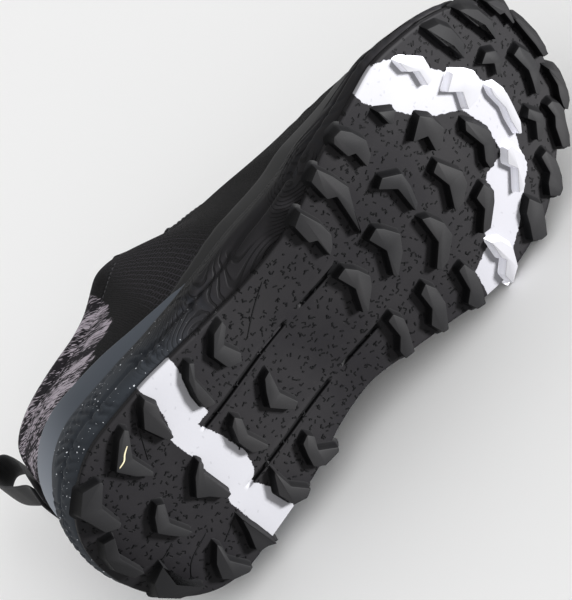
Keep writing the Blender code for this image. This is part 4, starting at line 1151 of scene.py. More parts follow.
def foam_material():
    """Speckled foam, blue grey at the heel and black at the toe, with painted shade in its lines."""
    material, tree, shader, place, uv = new_material("speckled_foam", 0.62)
    forward = attribute_of(tree, "forward")
    carved_painted_shade = attribute_of(tree, "carved_painted_shade")
    cloud = noise_of(tree, place, 30.0, 4.0, 0.6)
    shade = math_node(tree, "MULTIPLY_ADD", cloud, 0.12, forward)
    toe_share = soft_step(tree, shade, 0.26, 0.47)
    colour = mix_colour(tree, toe_share, (0.021, 0.025, 0.031, 1), (0.0085, 0.008, 0.009, 1))
    # Painted shade in the carved marks.
    colour = mix_colour(tree, times(tree, carved_painted_shade, 0.65), colour, (0.006, 0.008, 0.012, 1))
    cells = add_node(tree, "TexVoronoi", {"Vector": uv, "Scale": 330.0}, voronoi_dimensions="2D")
    chance = add_node(tree, "SeparateColor", {0: cells.outputs["Color"]})
    size = math_node(tree, "POWER", chance.outputs[0], 3.0)
    radius = math_node(tree, "MULTIPLY_ADD", size, 0.10, 0.03)
    speck = math_node(tree, "LESS_THAN", cells.outputs["Distance"], radius)
    some = math_node(tree, "GREATER_THAN", chance.outputs[1], 0.52)
    fewer = minus(tree, 1.0, toe_share)
    speck = times(tree, times(tree, speck, some), fewer)
    level = noise_of(tree, scaled_map(tree, place, (1.0, 1.6, 1.6)), 17.0, 0.6, 0.4)
    wave = math_node(tree, "FRACT", times(tree, level, 64.0))
    line = soft_step(tree, math_node(tree, "ABSOLUTE", minus(tree, wave, 0.5)), 0.22, 0.08)
    calm = soft_step(tree, noise_of(tree, place, 24.0, 0.0, 0.5), 0.38, 0.46)
    line = times(tree, line, times(tree, calm, toe_share))
    # The fine lines are painted near black: painted shade in their grooves, with the bump below for relief.
    colour = mix_colour(tree, times(tree, line, 0.6), colour, (0.001, 0.001, 0.0012, 1))
    # Painted shade on the top of the foam's side towards the toe.
    painted_brim_shade = times(tree, soft_step(tree, attribute_of(tree, "rise"), 0.60, 0.68), toe_share)
    colour = mix_colour(tree, painted_brim_shade, colour, (0.0035, 0.0035, 0.004, 1))
    colour = mix_colour(tree, speck, colour, (0.62, 0.64, 0.68, 1))
    paint(tree, shader, colour, 0.12)
    skin = times(tree, noise_of(tree, place, 1400.0, 3.0, 0.6), 0.2)
    relief(tree, shader, minus(tree, skin, line), 0.00035, 0.8)
    return material


midsole = make_midsole(foam_material())
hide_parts("midsole")

# %% [markdown]
# The upper is a melange knit with film pressed on it. One closed shell has the outside, a rolled
# collar and the lining. Marks on its points say how far each point lies inside each panel, and
# the material turns them into crisp edges. The steps of the panels and the collar's sewn line are
# also in the mesh.

# %% Upper
UPPER_STATIONS = 720
UPPER_ROWS = 72
LINING_ROWS = 14
RIM_ROWS = 6
knit_edge = smooth_line((0.00, 0.10, 0.20, 0.30, 0.36, 0.39, 0.41, 1.00),
                        (-0.25, -0.06, 0.18, 0.36, 0.52, 0.78, 1.15, 1.50))
film_edge = smooth_line((0.00, 0.30, 0.42, 0.55, 0.68, 0.80, 0.90, 1.00),
                        (-0.20, -0.10, 0.12, 0.20, 0.22, 0.34, 0.46, 0.52))


def panel_marks(turn, up):
    """How far inside each panel a point lies, in shares of the upper's height from sole to edge."""
    return {
        "knit": up - knit_edge(turn),
        "film": film_edge(turn) - up,
        "eyestay": up - 0.775 - 0.24 * ease((0.545 - turn) / 0.075),
    }


def upper_lift(place, up):
    """Relief of the outside: panel steps, sewn lines, creases and the padded collar."""
    turn = np.abs(place)
    marks = panel_marks(turn, up)
    lift = OVERLAY * ease(marks["eyestay"] / 0.010)
    lift = lift + 0.0004 * ease(marks["film"] / 0.012)
    heel = ease((0.47 - turn) / 0.05)
    lift = lift + 0.0013 * bump(up, 0.86, 1.08) * heel
    lift = lift - 0.0006 * bump(up, 0.845, 0.875) * heel
    x = bare_point(place, up)[..., 0] / LENGTH
    fold = np.sin(2.0 * math.pi * (x - 0.70) / 0.034 + 2.0 * up) * bump(x, 0.64, 0.82) * bump(up, 0.25, 1.1)
    lift = lift + 0.0005 * fold
    return lift - 0.0005 * bump(turn, -0.012, 0.012) * ease((0.9 - up) / 0.1)


def make_upper(material):
    """Closed shell of the upper, with outside, rolled edge and lining."""
    places = np.linspace(-1.0, 1.0, UPPER_STATIONS, endpoint=False)
    place = places[:, None]
    outside_rows = np.linspace(0.0, 1.0, UPPER_ROWS)
    inside_rows = np.linspace(1.0, 0.0, LINING_ROWS)
    relief_height = upper_lift(place + 0.0 * outside_rows, outside_rows + 0.0 * place)
    outside = upper_point(place, outside_rows, relief_height)
    pad = WALL + collar_pad(np.abs(place), inside_rows)
    inside = upper_point(place, inside_rows, -pad)
    edge_out = outside[:, -1]
    edge_in = inside[:, 0]
    middle = 0.5 * (edge_out + edge_in)
    across = 0.5 * (edge_out - edge_in)
    tip = bare_point(places, 1.0) - bare_point(places, 0.97)
    tip /= np.linalg.norm(tip, axis=-1, keepdims=True)
    half = np.linalg.norm(across, axis=-1, keepdims=True)
    rim = [middle + across * math.cos(angle) + tip * half * math.sin(angle)
           for angle in np.linspace(0.0, math.pi, RIM_ROWS + 2)[1:-1]]
    grid = np.concatenate((outside, np.stack(rim, axis=1), inside), axis=1)
    foot = midsole_top(outline(places)[:, 0]) + GAP
    grid[:, 0, 2] = foot
    grid[:, -1, 2] = foot
    wide = grid.shape[1]
    ups = np.concatenate((outside_rows, np.ones(RIM_ROWS), inside_rows))
    lining = np.concatenate((np.zeros(UPPER_ROWS + RIM_ROWS // 2), np.ones(RIM_ROWS // 2 + LINING_ROWS)))
    up = np.broadcast_to(ups, grid.shape[:2]).ravel()
    turn = np.broadcast_to(np.abs(place), grid.shape[:2]).ravel()
    marks = panel_marks(turn, up)
    marks["lining"] = np.broadcast_to(lining, grid.shape[:2]).ravel()
    marks["forward"] = grid[..., 0].ravel() / LENGTH
    girth = surface_map(grid[:, :UPPER_ROWS])[..., 0]
    lengths = surface_map(grid)[..., 1]
    uv = np.stack((np.broadcast_to(girth[:, :1], lengths.shape), lengths), axis=-1).reshape(-1, 2)
    faces = grid_faces(UPPER_STATIONS, wide, closed=True).tolist()
    last = wide - 1
    for i in range(UPPER_STATIONS):
        following = ((i + 1) % UPPER_STATIONS) * wide
        faces.append((i * wide + last, following + last, following, i * wide))
    piece = add_piece("knit_upper", grid.reshape(-1, 3), faces, material, uv=uv, marks=marks)
    print("Upper faces:", len(piece.data.polygons))
    return piece


# %% [markdown]
# The knit is drawn on the UV map, which is in metres. Short dashes of pale and dark yarn lie
# along slanted rows, and a large soft noise decides where the pale yarn comes to the front. The rows
# also lift the surface a little, so that the cloth catches the light.

# %% Knit and film
COURSE_SLANT = math.radians(48.5)


def knit_colour(tree, uv, place):
    """Colour and height of melange knit."""
    slanted = add_node(tree, "VectorRotate", {"Vector": uv, "Angle": -COURSE_SLANT}, rotation_type="Z_AXIS")
    dashes = noise_of(tree, scaled_map(tree, slanted.outputs[0], (230.0, 1900.0, 1.0)), 1.0, 0.0, 0.5)
    stretched = scaled_map(tree, slanted.outputs[0], (24.0, 115.0, 1.0), (3.1, 1.7, 0.0))
    patches = noise_of(tree, stretched, 1.0, 3.0, 0.6)
    balance = math_node(tree, "MULTIPLY_ADD", patches, 1.60, -0.83)
    mixed = math_node(tree, "ADD", dashes, balance)
    share = soft_step(tree, mixed, 0.49, 0.55)
    colour = mix_colour(tree, share, (0.010, 0.008, 0.011, 1), (0.36, 0.32, 0.36, 1))
    rows = add_node(tree, "TexWave", {"Vector": uv, "Scale": 420.0, "Distortion": 0.6, "Detail": 1.0},
                    wave_type="BANDS", bands_direction="Y").outputs["Fac"]
    ribs = add_node(tree, "TexWave", {"Vector": uv, "Scale": 300.0, "Distortion": 0.4, "Detail": 1.0},
                        wave_type="BANDS", bands_direction="X").outputs["Fac"]
    height = times(tree, rows, math_node(tree, "MULTIPLY_ADD", ribs, 0.5, 0.5))
    return colour, height


def upper_material():
    """Knit, film, eyestay and lining of the upper."""
    material, tree, shader, place, uv = new_material("upper_cloth", 0.8)
    cloth, weave = knit_colour(tree, uv, place)
    frayed = minus(tree, noise_of(tree, scaled_map(tree, uv, (45, 160, 1)), 1.0, 4.0, 0.7), 0.5)
    knit = math_node(tree, "MULTIPLY_ADD", frayed, 0.50, attribute_of(tree, "knit"))
    knit_share = soft_step(tree, knit, -0.02, 0.02)
    mesh_dots = add_node(tree, "TexVoronoi", {"Vector": uv, "Scale": 520.0}, feature="DISTANCE_TO_EDGE",
                         voronoi_dimensions="2D").outputs["Distance"]
    dots = soft_step(tree, mesh_dots, 0.04, 0.16)
    dark = mix_colour(tree, dots, (0.007, 0.0065, 0.0075, 1), (0.002, 0.002, 0.0022, 1))
    hexes = add_node(tree, "TexVoronoi", {"Vector": uv, "Scale": 430.0, "Randomness": 0.3},
                     feature="DISTANCE_TO_EDGE", voronoi_dimensions="2D").outputs["Distance"]
    forward = attribute_of(tree, "forward")
    saddle = times(tree, soft_step(tree, forward, 0.32, 0.36), soft_step(tree, forward, 0.50, 0.40))
    lines = times(tree, soft_step(tree, hexes, 0.10, 0.06), saddle)
    dark = mix_colour(tree, lines, dark, (0.026, 0.024, 0.029, 1))
    colour = mix_colour(tree, knit_share, dark, cloth)
    film = soft_step(tree, attribute_of(tree, "film"), 0.0, 0.006)
    stay = soft_step(tree, attribute_of(tree, "eyestay"), 0.0, 0.006)
    panel = math_node(tree, "MAXIMUM", film, stay)
    colour = mix_colour(tree, panel, colour, (0.0035, 0.0035, 0.004, 1))
    lining = attribute_of(tree, "lining")
    colour = mix_colour(tree, lining, colour, (0.016, 0.016, 0.018, 1))
    paint(tree, shader, colour, 0.12)
    gloss = math_node(tree, "MULTIPLY_ADD", panel, -0.34, 0.82)
    tree.links.new(gloss, shader.inputs["Roughness"])
    flat = minus(tree, 1.0, panel)
    height = times(tree, weave, flat)
    relief(tree, shader, height, 0.0004, 0.8)
    return material


upper = make_upper(upper_material())
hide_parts("upper")

# %% [markdown]
# A smooth film band holds the heel, and a rubbery guard covers the toe. Both are thin shells over the
# upper's foot. Their upper edges thin out, as pressed film does.

# %% Heel band and toe guard
GUARD = 0.0016
EDGE = np.linspace(0.0, 1.0, 26)


def make_shell(name, places, top, material):
    """Thin shell over the upper between the sole and a shaped edge that thins out."""
    place = places[:, None]
    ends = np.minimum(1.0, np.minimum(np.arange(len(places)), np.arange(len(places))[::-1]) / 5.0)[:, None]
    up = top(np.abs(place)) * EDGE
    thick = GUARD * np.sqrt(np.clip((1.0 - EDGE) / 0.10, 0.04, 1.0)) * (0.25 + 0.75 * ease(ends))
    near = upper_point(place, up, np.full(up.shape, 2.0 * GAP))
    far = upper_point(place, up, 2.0 * GAP + thick)
    foot = midsole_top(outline(places)[:, 0]) + GAP
    near[:, 0, 2] = foot
    far[:, 0, 2] = foot
    vertices, faces, uv = closed_sheets(near, far)
    rise = np.tile(np.broadcast_to(EDGE, near.shape[:2]).ravel(), 2)
    piece = add_piece(name, vertices, faces, material, uv=uv, marks={"rise": rise})
    print(name, "faces:", len(piece.data.polygons))
    return piece


def film_material(name, colour, roughness, heel_painted_light=None):
    """Smooth pressed film with a faint brushed grain, and painted light at the heel's back if asked."""
    material, tree, shader, place, uv = new_material(name, roughness)
    grain = noise_of(tree, scaled_map(tree, uv, (60.0, 900.0, 1.0)), 1.0, 3.0, 0.6)
    cloud = noise_of(tree, place, 35.0, 3.0, 0.5)
    low = tuple(0.86 * part for part in colour) + (1,)
    high = tuple(1.12 * part for part in colour) + (1,)
    tone = mix_colour(tree, cloud, low, high)
    # Painted light: the heel band turns paler towards the back of the heel, and stays darker where it lies in
    # shade.
    if heel_painted_light:
        parts = add_node(tree, "SeparateXYZ", {0: place})
        tone = mix_colour(tree, soft_step(tree, parts.outputs[0], -0.095, -0.142), tone, heel_painted_light + (1,))
    paint(tree, shader, tone, 0.25)
    relief(tree, shader, grain, 0.0001, 0.35)
    return material


BAND_END = 0.4333
heel_top = smooth_line((0.0, 0.15, 0.30, BAND_END), (0.30, 0.29, 0.24, 0.05))
toe_top = smooth_line((0.68, 0.78, 0.90, 1.0), (0.07, 0.20, 0.36, 0.42))
heel_band = make_shell(
    "heel_band", np.linspace(-BAND_END, BAND_END, 220), heel_top,
    film_material("heel_film", (0.035, 0.044, 0.058), 0.5, (0.170, 0.190, 0.224)))
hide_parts("heel_cradle")
toe_cap = make_shell(
    "toe_cap", np.linspace(0.70, 1.30, 220), lambda turn: toe_top(np.where(turn > 1.0, 2.0 - turn, turn)),
    film_material("toe_film", (0.004, 0.004, 0.0045), 0.42))
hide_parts("toe_guard")

# %% [markdown]
# The tongue is a padded strip under the eyestay that stands up past the collar. Its outside follows
# the same rows of the upper as the laces do, its pad is thick in the middle and thin at the edges, and
# its end is rounded. It is a thin pad that the laces hold down, so it is shaped in code.

# %% Tongue
TONGUE = 0.0042
TONGUE_RISE = 0.036
TONGUE_LEAN = math.radians(38.0)
TONGUE_ROWS = (0.85, 0.92, 1.0)
TONGUE_END = 1.10
TONGUE_STEPS = 42
TIP_START = 0.76
TIP_REACH = 0.342
TIP_FLATNESS = 0.65
tongue_width = smooth_line((0.0, 0.22, 0.55, 0.80, 1.10), (1.0, 0.88, 0.84, 0.82, 0.80))


def tongue_section(turn, depth):
    """Points across the tongue at one turn, from the inner to the outer side."""
    inner = [upper_point(-turn, up, -depth) for up in TONGUE_ROWS]
    outer = [upper_point(turn, up, -depth) for up in TONGUE_ROWS]
    crown = 0.5 * (inner[-1] + outer[-1])
    crown[2] += 0.1 * float(opening_side(turn))
    return np.array(inner + [crown] + outer[::-1])


def make_tongue(material):
    """Padded tongue with a rounded upper end."""
    across = np.linspace(0.0, 6.0, 37)
    turns = np.linspace(28.0 / 30.0, 16.0 / 30.0, 60)
    sheets = []
    for depth in (WALL + 2.0 * GAP, WALL + 2.0 * GAP + TONGUE):
        rows = []
        for turn in turns:
            section = tongue_section(turn, depth)
            curves = [smooth_line(range(7), section[:, axis])(across) for axis in range(3)]
            rows.append(np.stack(curves, axis=-1))
        lean = np.array((-math.sin(TONGUE_LEAN), 0.0, math.cos(TONGUE_LEAN)))
        top = rows[-1]
        middle = top[18]
        for share in TONGUE_END * np.sin(np.linspace(0.0, 0.5 * math.pi, TONGUE_STEPS)[1:]):
            tip = math.sqrt(max(1.0 - (max(share - TIP_START, 0.0) / TIP_REACH) ** 2, 0.01))
            flat = tip * (1.0 - TIP_FLATNESS * float(ease(share / 0.8)))
            narrow = np.array((flat, float(tongue_width(share)) * tip, flat))
            moved = middle + lean * TONGUE_RISE * share + (top - middle) * narrow
            rows.append(moved)
        sheets.append(np.array(rows))
    outer, inner = sheets
    body = inner - outer
    side = np.abs(across - 3.0) / 3.0
    long_share = np.linspace(0.0, 1.0, len(outer))[:, None]
    pad = 0.30 + 0.70 * np.sqrt(np.clip(1.0 - side ** 6, 0.0, 1.0))[None, :]
    pad = pad * (0.35 + 0.65 * ease((1.0 - long_share) / 0.05))
    channel = bump(long_share, 0.80, 0.83) + bump(side, 0.55, 0.66) * ease((long_share - 0.62) / 0.05)
    pad = pad * (1.0 - 0.30 * np.clip(channel, 0.0, 1.0))
    raised = (bump(long_share, 0.62, 1.02) * (1.0 - side ** 4))[..., None]
    swell = np.array((-0.35, 0.0, 0.94)) * 0.0012 * raised
    centre = outer + 0.5 * body
    front = centre - 0.5 * body * pad[..., None] + swell
    rear = centre + 0.5 * body * pad[..., None]
    vertices, faces, uv = closed_sheets(front, rear)
    piece = add_piece("padded_tongue", vertices, faces, material, uv=uv)
    print("Tongue faces:", len(piece.data.polygons))
    return piece


def cloth_material(name, colour, pale, thread, roughness=0.85):
    """Plain woven cloth: crossing threads on the UV map, with a soft sheen."""
    material, tree, shader, place, uv = new_material(name, roughness)
    bands = {"Vector": uv, "Scale": 0.16 / thread, "Distortion": 0.5}
    warp = add_node(tree, "TexWave", bands, bands_direction="X")
    weft = add_node(tree, "TexWave", bands, bands_direction="Y")
    height = math_node(tree, "MAXIMUM", warp.outputs["Fac"], weft.outputs["Fac"])
    cloud = noise_of(tree, place, 60.0, 4.0, 0.6)
    yarn = times(tree, height, cloud)
    woven = mix_colour(tree, soft_step(tree, yarn, 0.2, 0.75), colour + (1,), pale + (1,))
    paint(tree, shader, woven, 0.25, 0.15)
    relief(tree, shader, height, 0.00025, 0.8)
    return material


tongue = make_tongue(cloth_material("tongue_cloth", (0.007, 0.007, 0.008), (0.020, 0.019, 0.022), 0.0007))
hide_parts("tongue")

# %% [markdown]
# The lace is a flat woven band. Each run comes up through an eyelet, crosses the tongue and dives into
# the next eyelet on the other side, and where two runs meet one arches over the other. The band is
# swept along a smooth path with its flat side down, and it is pinched where it enters an eyelet.

# %% Laces
LACE_WIDTH = 0.0062
LACE_THICKNESS = 0.0012
LACE_DIVE = 0.0030
LACE_POINTS = 46


def smooth_path(points, count):
    """Evenly shared points on a smooth curve through the given ones."""
    points = np.asarray(points, float)
    lengths = np.concatenate(([0.0], np.cumsum(np.linalg.norm(np.diff(points, axis=0), axis=1))))
    slopes = np.gradient(points, lengths, axis=0)
    at = np.linspace(0.0, lengths[-1], count)
    i = np.clip(np.searchsorted(lengths, at, side="right") - 1, 0, len(points) - 2)
    step = lengths[i + 1] - lengths[i]
    t = ((at - lengths[i]) / step)[:, None]
    return between(points[i], points[i + 1], slopes[i], slopes[i + 1], step[:, None], t)


def band_along(path, normals, widths, thickness, corners=14):
    """Flat band with rounded edges along a path: points, faces and UV map."""
    along = np.gradient(path, axis=0)
    along /= np.linalg.norm(along, axis=1, keepdims=True)
    across = np.cross(along, normals)
    across /= np.linalg.norm(across, axis=1, keepdims=True)
    up = np.cross(across, along)
    angles = np.linspace(0.0, 2.0 * math.pi, corners, endpoint=False)
    wide = np.sign(np.cos(angles)) * np.abs(np.cos(angles)) ** 0.7
    high = np.sign(np.sin(angles)) * np.abs(np.sin(angles)) ** 0.8
    rings = (
        path[:, None] + across[:, None] * (wide[None, :] * widths[:, None] / 2.0)[..., None]
        + up[:, None] * (high * thickness / 2.0)[None, :, None])
    count = len(path)
    faces = []
    for i in range(count - 1):
        for j in range(corners):
            k = (j + 1) % corners
            faces.append((i * corners + j, i * corners + k, (i + 1) * corners + k, (i + 1) * corners + j))
    faces.append(tuple(reversed(range(corners))))
    faces.append(tuple((count - 1) * corners + j for j in range(corners)))
    lengths = np.concatenate(([0.0], np.cumsum(np.linalg.norm(np.diff(path, axis=0), axis=1))))
    uv = np.stack((
        np.repeat(lengths, corners), np.tile(wide, count) * np.repeat(widths, corners) / 2.0), axis=1)
    return rings.reshape(-1, 3), faces, uv


def lace_run(start, end, over):
    """One run of the lace between two eyelets, given as places round the shoe."""
    lift = OVERLAY + 2.0 * GAP + LACE_THICKNESS / 2.0
    first = [upper_point(start, EYELET_UP, height) for height in (-LACE_DIVE, 0.0002, lift + 0.0004)]
    last = [upper_point(end, EYELET_UP, height) for height in (lift + 0.0004, 0.0002, -LACE_DIVE)]
    leave = upper_point(start, 0.985, lift + GAP)
    arrive = upper_point(end, 0.985, lift + GAP)
    middle = 0.5 * (leave + arrive)
    normal = upper_normal(start, EYELET_UP) + upper_normal(end, EYELET_UP)
    normal /= np.linalg.norm(normal)
    first[2] = first[2] + (leave - first[2]) * 0.25
    last[0] = last[0] + (arrive - last[0]) * 0.25
    middle = middle + normal * (0.0017 if over else 0.0003)
    points = first + [leave, middle, arrive] + last
    path = smooth_path(points, LACE_POINTS)
    share = np.linspace(0.0, 1.0, LACE_POINTS)[:, None]
    normals = upper_normal(start, EYELET_UP) * (1.0 - share) + upper_normal(end, EYELET_UP) * share
    ends = np.minimum(share, 1.0 - share)[:, 0]
    widths = LACE_WIDTH * (0.55 + 0.45 * ease(ends / 0.2))
    dive = ease((0.10 - ends) / 0.10)[:, None] * np.sign(share - 0.5)
    towards = path[-1] - path[0]
    towards /= np.linalg.norm(towards)
    normals = normals + dive * towards * 1.2
    return band_along(path, normals, widths, LACE_THICKNESS)


def join_parts(parts):
    """Join several lists of points, faces and UV maps into one."""
    vertices = []
    faces = []
    maps = []
    count = 0
    for points, quads, uv in parts:
        vertices.append(points)
        faces += [tuple(count + i for i in face) for face in quads]
        maps.append(uv)
        count += len(points)
    return np.concatenate(vertices), faces, np.concatenate(maps)


def make_laces(material):
    """Crossing runs of the lace from the toe to the ankle, and the bar at the toe end."""
    turns = EYELET_TURNS[::-1]
    runs = [lace_run(turns[0], -turns[0], True)]
    for i in range(len(turns) - 1):
        runs.append(lace_run(turns[i], -turns[i + 1], i % 2 == 0))
        runs.append(lace_run(-turns[i], turns[i + 1], i % 2 == 1))
    vertices, faces, uv = join_parts(runs)
    piece = add_piece("lace_runs", vertices, faces, material, uv=uv)
    length = sum(part[2][:, 0].max() for part in runs)
    print("Lace runs: %d, %.3f m of lace with its diving ends" % (len(runs), length))
    return piece


laces = make_laces(cloth_material("lace_weave", (0.008, 0.008, 0.009), (0.030, 0.030, 0.033), 0.0006, 0.7))
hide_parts("laces")

# %% [markdown]
# Worn rubber has a few thin folds between the lugs, and a fleck of dry straw sticks to one lug of the
# heel. Both are thin bands, swept like the lace and set on the surface of the tread. The folds are
# painted dark: painted shade, so that they read as creases.

# %% Folds and fleck
FOLDS = (
    ((135, -35), (125, -30), (113, -23)),
    ((62, -47), (56, -38), (48, -25)),
    ((54, 25), (47, 28), (41, 30)),
    ((39, 20), (25, 24), (18, 32)),
    ((27, 10), (19, 12), (10, 12.5)))
BAND_POINTS = 24
STRAW = ((47.2, -40.2), (43.6, -38.4), (41.6, -36.8), (37.9, -36.2))


def thin_band(corners, level, lift, width, thickness):
    """Thin band along points in millimetres, laid on a surface of the tread."""
    flat = smooth_path([(x / 1000.0, y / 1000.0, 0.0) for x, y in corners], BAND_POINTS)
    flat[:, 2] = level(flat[:, 0]) - lift
    taper = 0.35 + 0.65 * np.sin(np.linspace(0.0, math.pi, BAND_POINTS)) ** 0.5
    return band_along(flat, np.tile((0.0, 0.0, 1.0), (BAND_POINTS, 1)), width * taper, thickness, 8)


folds = join_parts([thin_band(line, plate_level, 0.0, 0.0007, 0.0007) for line in FOLDS])
# The folds get 0.7 of the painted wall shading, painted shade that darkens them.
add_piece("tread_folds", folds[0], folds[1], lug_rubber, uv=folds[2],
          marks={"band": np.full(len(folds[0]), -0.02), "wall_painted_shading": np.full(len(folds[0]), 0.7)})
fleck = thin_band(STRAW, tread_level, 0.0001, 0.0008, 0.0003)
dry_straw = film_material("dry_straw", (0.40, 0.36, 0.24), 0.7)
add_piece("straw_fleck", fleck[0], fleck[1], dry_straw, uv=fleck[2])
print("Folds:", len(FOLDS))

# %% [markdown]
# The pull loop is a folded ribbon. One end lies on the back of the heel and the other is sewn over it,
# and between them the ribbon stands up in a bow that a finger can hold.

# %% Pull loop
LOOP_WIDTH = 0.016
LOOP_HEIGHT = 0.033
LOOP_DEPTH = 0.012
LOOP_THICKNESS = 0.0014
LOOP_POINTS = 150
LOOP_BOW = (
    (0.30, -0.12), (0.62, -0.10), (0.88, 0.10), (1.00, 0.42),
    (0.92, 0.78), (0.68, 0.98), (0.38, 0.92), (0.08, 0.62))


def make_pull_loop(material):
    """Ribbon bow at the heel, with its flat side to the back."""
    lift = 2.0 * GAP + LOOP_THICKNESS / 2.0
    under = [upper_point(0.0, up, lift) for up in (0.60, 0.70, 0.80, 0.90, 1.0)]
    over = [upper_point(0.0, up, lift + LOOP_THICKNESS + GAP) for up in (0.88, 0.80, 0.70, 0.60)]
    start = under[-1]
    bow = [start + np.array((-LOOP_DEPTH * back, 0.0, LOOP_HEIGHT * up)) for up, back in LOOP_BOW]
    path = smooth_path(np.array(under + bow + over), LOOP_POINTS)
    along = np.gradient(path, axis=0)
    normals = np.cross(along, (0.0, 1.0, 0.0))
    sway = bump(np.linspace(0.0, 1.0, LOOP_POINTS), 0.25, 0.85)
    path[:, 1] += 0.0008 * sway
    parts = band_along(path, normals, np.full(LOOP_POINTS, LOOP_WIDTH), LOOP_THICKNESS, 22)
    piece = add_piece("ribbon_loop", parts[0], parts[1], material, uv=parts[2])
    print("Ribbon of the pull loop: %.3f m" % parts[2][:, 0].max())
    return piece


def ribbon_material():
    """Ribbon with fine ribs across it and firm edges."""
    material, tree, shader, place, uv = new_material("ribbon_weave", 0.62)
    ribs = add_node(tree, "TexWave", {"Vector": uv, "Scale": 300.0, "Distortion": 0.2}, bands_direction="X")
    parts = add_node(tree, "SeparateXYZ", {0: uv})
    edge = soft_step(tree, math_node(tree, "ABSOLUTE", parts.outputs[1]), 0.0062, 0.0066)
    cloud = noise_of(tree, place, 80.0, 3.0, 0.6)
    colour = mix_colour(tree, cloud, (0.004, 0.004, 0.0045, 1), (0.008, 0.008, 0.009, 1))
    colour = mix_colour(tree, edge, colour, (0.016, 0.016, 0.018, 1))
    paint(tree, shader, colour, 0.25, 0.05)
    relief(tree, shader, ribs.outputs["Fac"], 0.00012, 0.7)
    return material


pull_loop = make_pull_loop(ribbon_material())
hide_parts("pull_loop")

# %% [markdown]
# The insole lies in the shoe with a raised rim round the heel. It follows the lining, so its edge is
# found from the upper's own wall.

# %% Insole
INSOLE = 0.0040
INSOLE_CUP = 0.0050


def make_insole(material):
    """Foam insole with a cupped heel and a rounded edge."""
    turns = np.linspace(0.02, 0.985, 120)
    across = np.linspace(-1.0, 1.0, 33)
    rows = []
    for turn in turns:
        sides = []
        for sign in (-1.0, 1.0):
            ups = np.array((0.0, 0.06, 0.12))
            inside = upper_point(sign * turn, ups, np.full(3, -WALL - 0.0012))
            out = outward(sign * turn)
            foot = inside[0, :2]
            shift = ((inside[:, :2] - foot) @ out).min()
            sides.append(foot + out * min(shift, 0.0))
        inner, outer = sides
        level = float(midsole_top(outline(turn)[0])) + GAP
        cup = INSOLE_CUP * float(ease((0.55 - turn) / 0.25))
        share = (across[:, None] + 1.0) / 2.0
        line = inner + (outer - inner) * share
        height = level + INSOLE + cup * np.abs(across) ** 5 - 0.0012 * ease((np.abs(across) - 0.94) / 0.06)
        rows.append(np.column_stack((line, height)))
    top = np.array(rows)
    heel = ease((0.06 - turns) / 0.04)[:, None]
    top[..., 2] += INSOLE_CUP * 0.8 * heel
    low = top.copy()
    low[..., 2] = midsole_top(np.clip(top[..., 0], 0.0, LENGTH)) + GAP
    vertices, faces, uv = closed_sheets(top, low)
    return add_piece("foam_insole", vertices, faces, material, uv=vertices[:, :2])


insole = make_insole(cloth_material("insole_cloth", (0.014, 0.014, 0.016), (0.040, 0.040, 0.044), 0.0008))
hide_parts("insole")

# %% [markdown]
# Seams are rows of short threads. A tree takes a line on the surface, shares it into even steps and
# sets one small bar on each, turned along the line. The eyelets are small rings, set the same way
# on points that carry the direction of the wall.

# %% Seams and eyelets
def stitches_tree():
    """Small rounded bars along a line."""
    group, entry, end = node_group("sewn_line", (
        ("Step", "Float"), ("Length", "Float"), ("Thickness", "Float"), ("Material", "Material")))
    curve = add_node(group, "GeometryNodeMeshToCurve", {"Mesh": entry.outputs["Geometry"]})
    even = add_node(group, "GeometryNodeResampleCurve", {
        "Curve": curve.outputs[0], "Length": entry.outputs["Step"]}, mode="LENGTH")
    tangent = add_node(group, "GeometryNodeInputTangent")
    facing = add_node(group, "FunctionNodeAlignRotationToVector", {"Vector": tangent.outputs[0]}, axis="Z")
    size = times(group, entry.outputs["Thickness"], 0.5)
    bar = add_node(group, "GeometryNodeMeshUVSphere", {"Segments": 8, "Rings": 6, "Radius": size})
    stretch = add_node(group, "ShaderNodeCombineXYZ", {
        0: 1.0, 1: 1.0, 2: math_node(group, "DIVIDE", entry.outputs["Length"], entry.outputs["Thickness"])})
    long_bar = add_node(group, "GeometryNodeTransform", {
        "Geometry": bar.outputs["Mesh"], "Scale": stretch.outputs[0]})
    placed = add_node(group, "GeometryNodeInstanceOnPoints", {
        "Points": even.outputs[0], "Instance": long_bar.outputs[0], "Rotation": facing.outputs[0]})
    return give_real_mesh(group, entry, end, placed)


def line_object(name, lines):
    """Edges through lists of points of the shoe's own frame."""
    vertices = []
    edges = []
    for line in lines:
        start = len(vertices)
        vertices += to_world(line).tolist()
        edges += [(start + i, start + i + 1) for i in range(len(line) - 1)]
    mesh = bpy.data.meshes.new(name)
    mesh.from_pydata(vertices, edges, [])
    return new_object(name, mesh)


def sew(name, lines, material, step=0.0027, length=0.0019, thickness=0.00055):
    """Row of stitches along lines, as one plain piece."""
    source = line_object(name + "_line", lines)
    mesh = run_nodes(source, sewn_line, {
        "Step": step, "Length": length, "Thickness": thickness, "Material": material})
    bpy.data.objects.remove(source)
    mesh.polygons.foreach_set("use_smooth", [True] * len(mesh.polygons))
    piece = new_object(name, mesh)
    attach(piece, "root")
    print(name, "faces:", len(mesh.polygons))


def thread_material():
    """Dull twisted thread."""
    material, tree, shader, place, uv = new_material("thread", 0.7)
    cloud = noise_of(tree, place, 1500.0, 2.0, 0.5)
    paint(tree, shader, mix_colour(tree, cloud, (0.020, 0.020, 0.022, 1), (0.060, 0.060, 0.066, 1)), 0.5)
    return material


sewn_line = stitches_tree()
thread = thread_material()


def seam_line(first, last, up, count=260):
    """Line at one height round the upper, lying on its relief."""
    places = np.linspace(first, last, count)
    return upper_point(places, np.full(count, up), upper_lift(places, np.full(count, up)) + 0.0001)


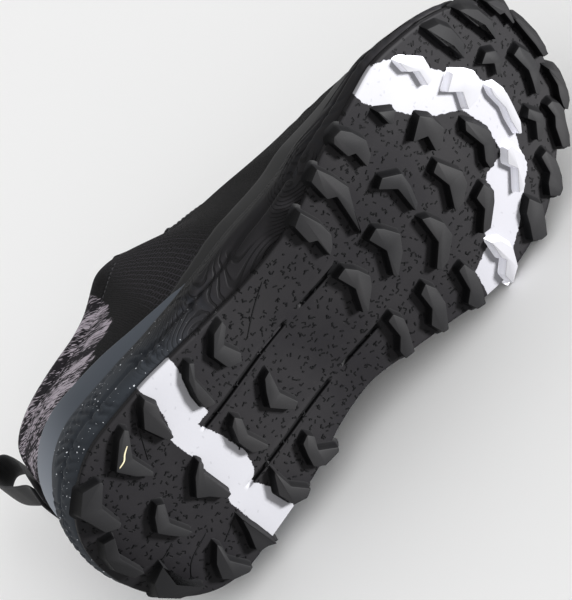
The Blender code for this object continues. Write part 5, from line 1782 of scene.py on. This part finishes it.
sew("collar_seam", [seam_line(-0.455, 0.455, 0.86, 300)], thread)
stay_lines = [seam_line(0.545, 1.455, 0.797), seam_line(0.545, 1.455, 0.955)]
sew("eyestay_seams", stay_lines, thread, 0.0024, 0.0016, 0.0005)


def ring_tree():
    """Small rings on points, turned to each point's stored direction."""
    group, entry, end = node_group("eyelet_rings", (
        ("Radius", "Float"), ("Rim", "Float"), ("Material", "Material")))
    circle = add_node(group, "GeometryNodeCurvePrimitiveCircle", {
        "Resolution": 24, "Radius": entry.outputs["Radius"]})
    profile = add_node(group, "GeometryNodeCurvePrimitiveCircle", {
        "Resolution": 8, "Radius": entry.outputs["Rim"]})
    ring = add_node(group, "GeometryNodeCurveToMesh", {
        "Curve": circle.outputs[0], "Profile Curve": profile.outputs[0]})
    stored = add_node(
        group, "GeometryNodeInputNamedAttribute", {"Name": "direction"}, data_type="FLOAT_VECTOR")
    facing = add_node(group, "FunctionNodeAlignRotationToVector", {"Vector": stored.outputs[0]}, axis="Z")
    placed = add_node(group, "GeometryNodeInstanceOnPoints", {
        "Points": entry.outputs["Geometry"], "Instance": ring.outputs[0], "Rotation": facing.outputs[0]})
    return give_real_mesh(group, entry, end, placed)


def make_eyelets(material):
    """Rim of each eyelet."""
    places = np.concatenate((EYELET_TURNS, -EYELET_TURNS))
    points = upper_point(places, np.full(12, EYELET_UP), np.full(12, OVERLAY + 0.0001))
    normals = upper_normal(places, np.full(12, EYELET_UP)) @ SHOE_AXES.T
    mesh = bpy.data.meshes.new("eyelet_points")
    mesh.from_pydata(to_world(points).tolist(), [], [])
    layer = mesh.attributes.new("direction", "FLOAT_VECTOR", "POINT")
    layer.data.foreach_set("vector", normals.ravel())
    source = new_object("eyelet_points", mesh)
    result = run_nodes(source, ring_tree(), {"Radius": 0.0028, "Rim": 0.0005, "Material": material})
    bpy.data.objects.remove(source)
    result.polygons.foreach_set("use_smooth", [True] * len(result.polygons))
    piece = new_object("eyelet_rims", result)
    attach(piece, "root")
    print("Eyelet rims:", len(places))


make_eyelets(film_material("eyelet_film", (0.016, 0.016, 0.017), 0.35))

# %% [markdown]
# Now that all pieces stand, the lamps are told what they light: every mesh but the floor.

# %% Light linking
for item in bpy.context.scene.objects:
    if item.type == "MESH" and item.name != "floor":
        lit_by_lamps.objects.link(item)
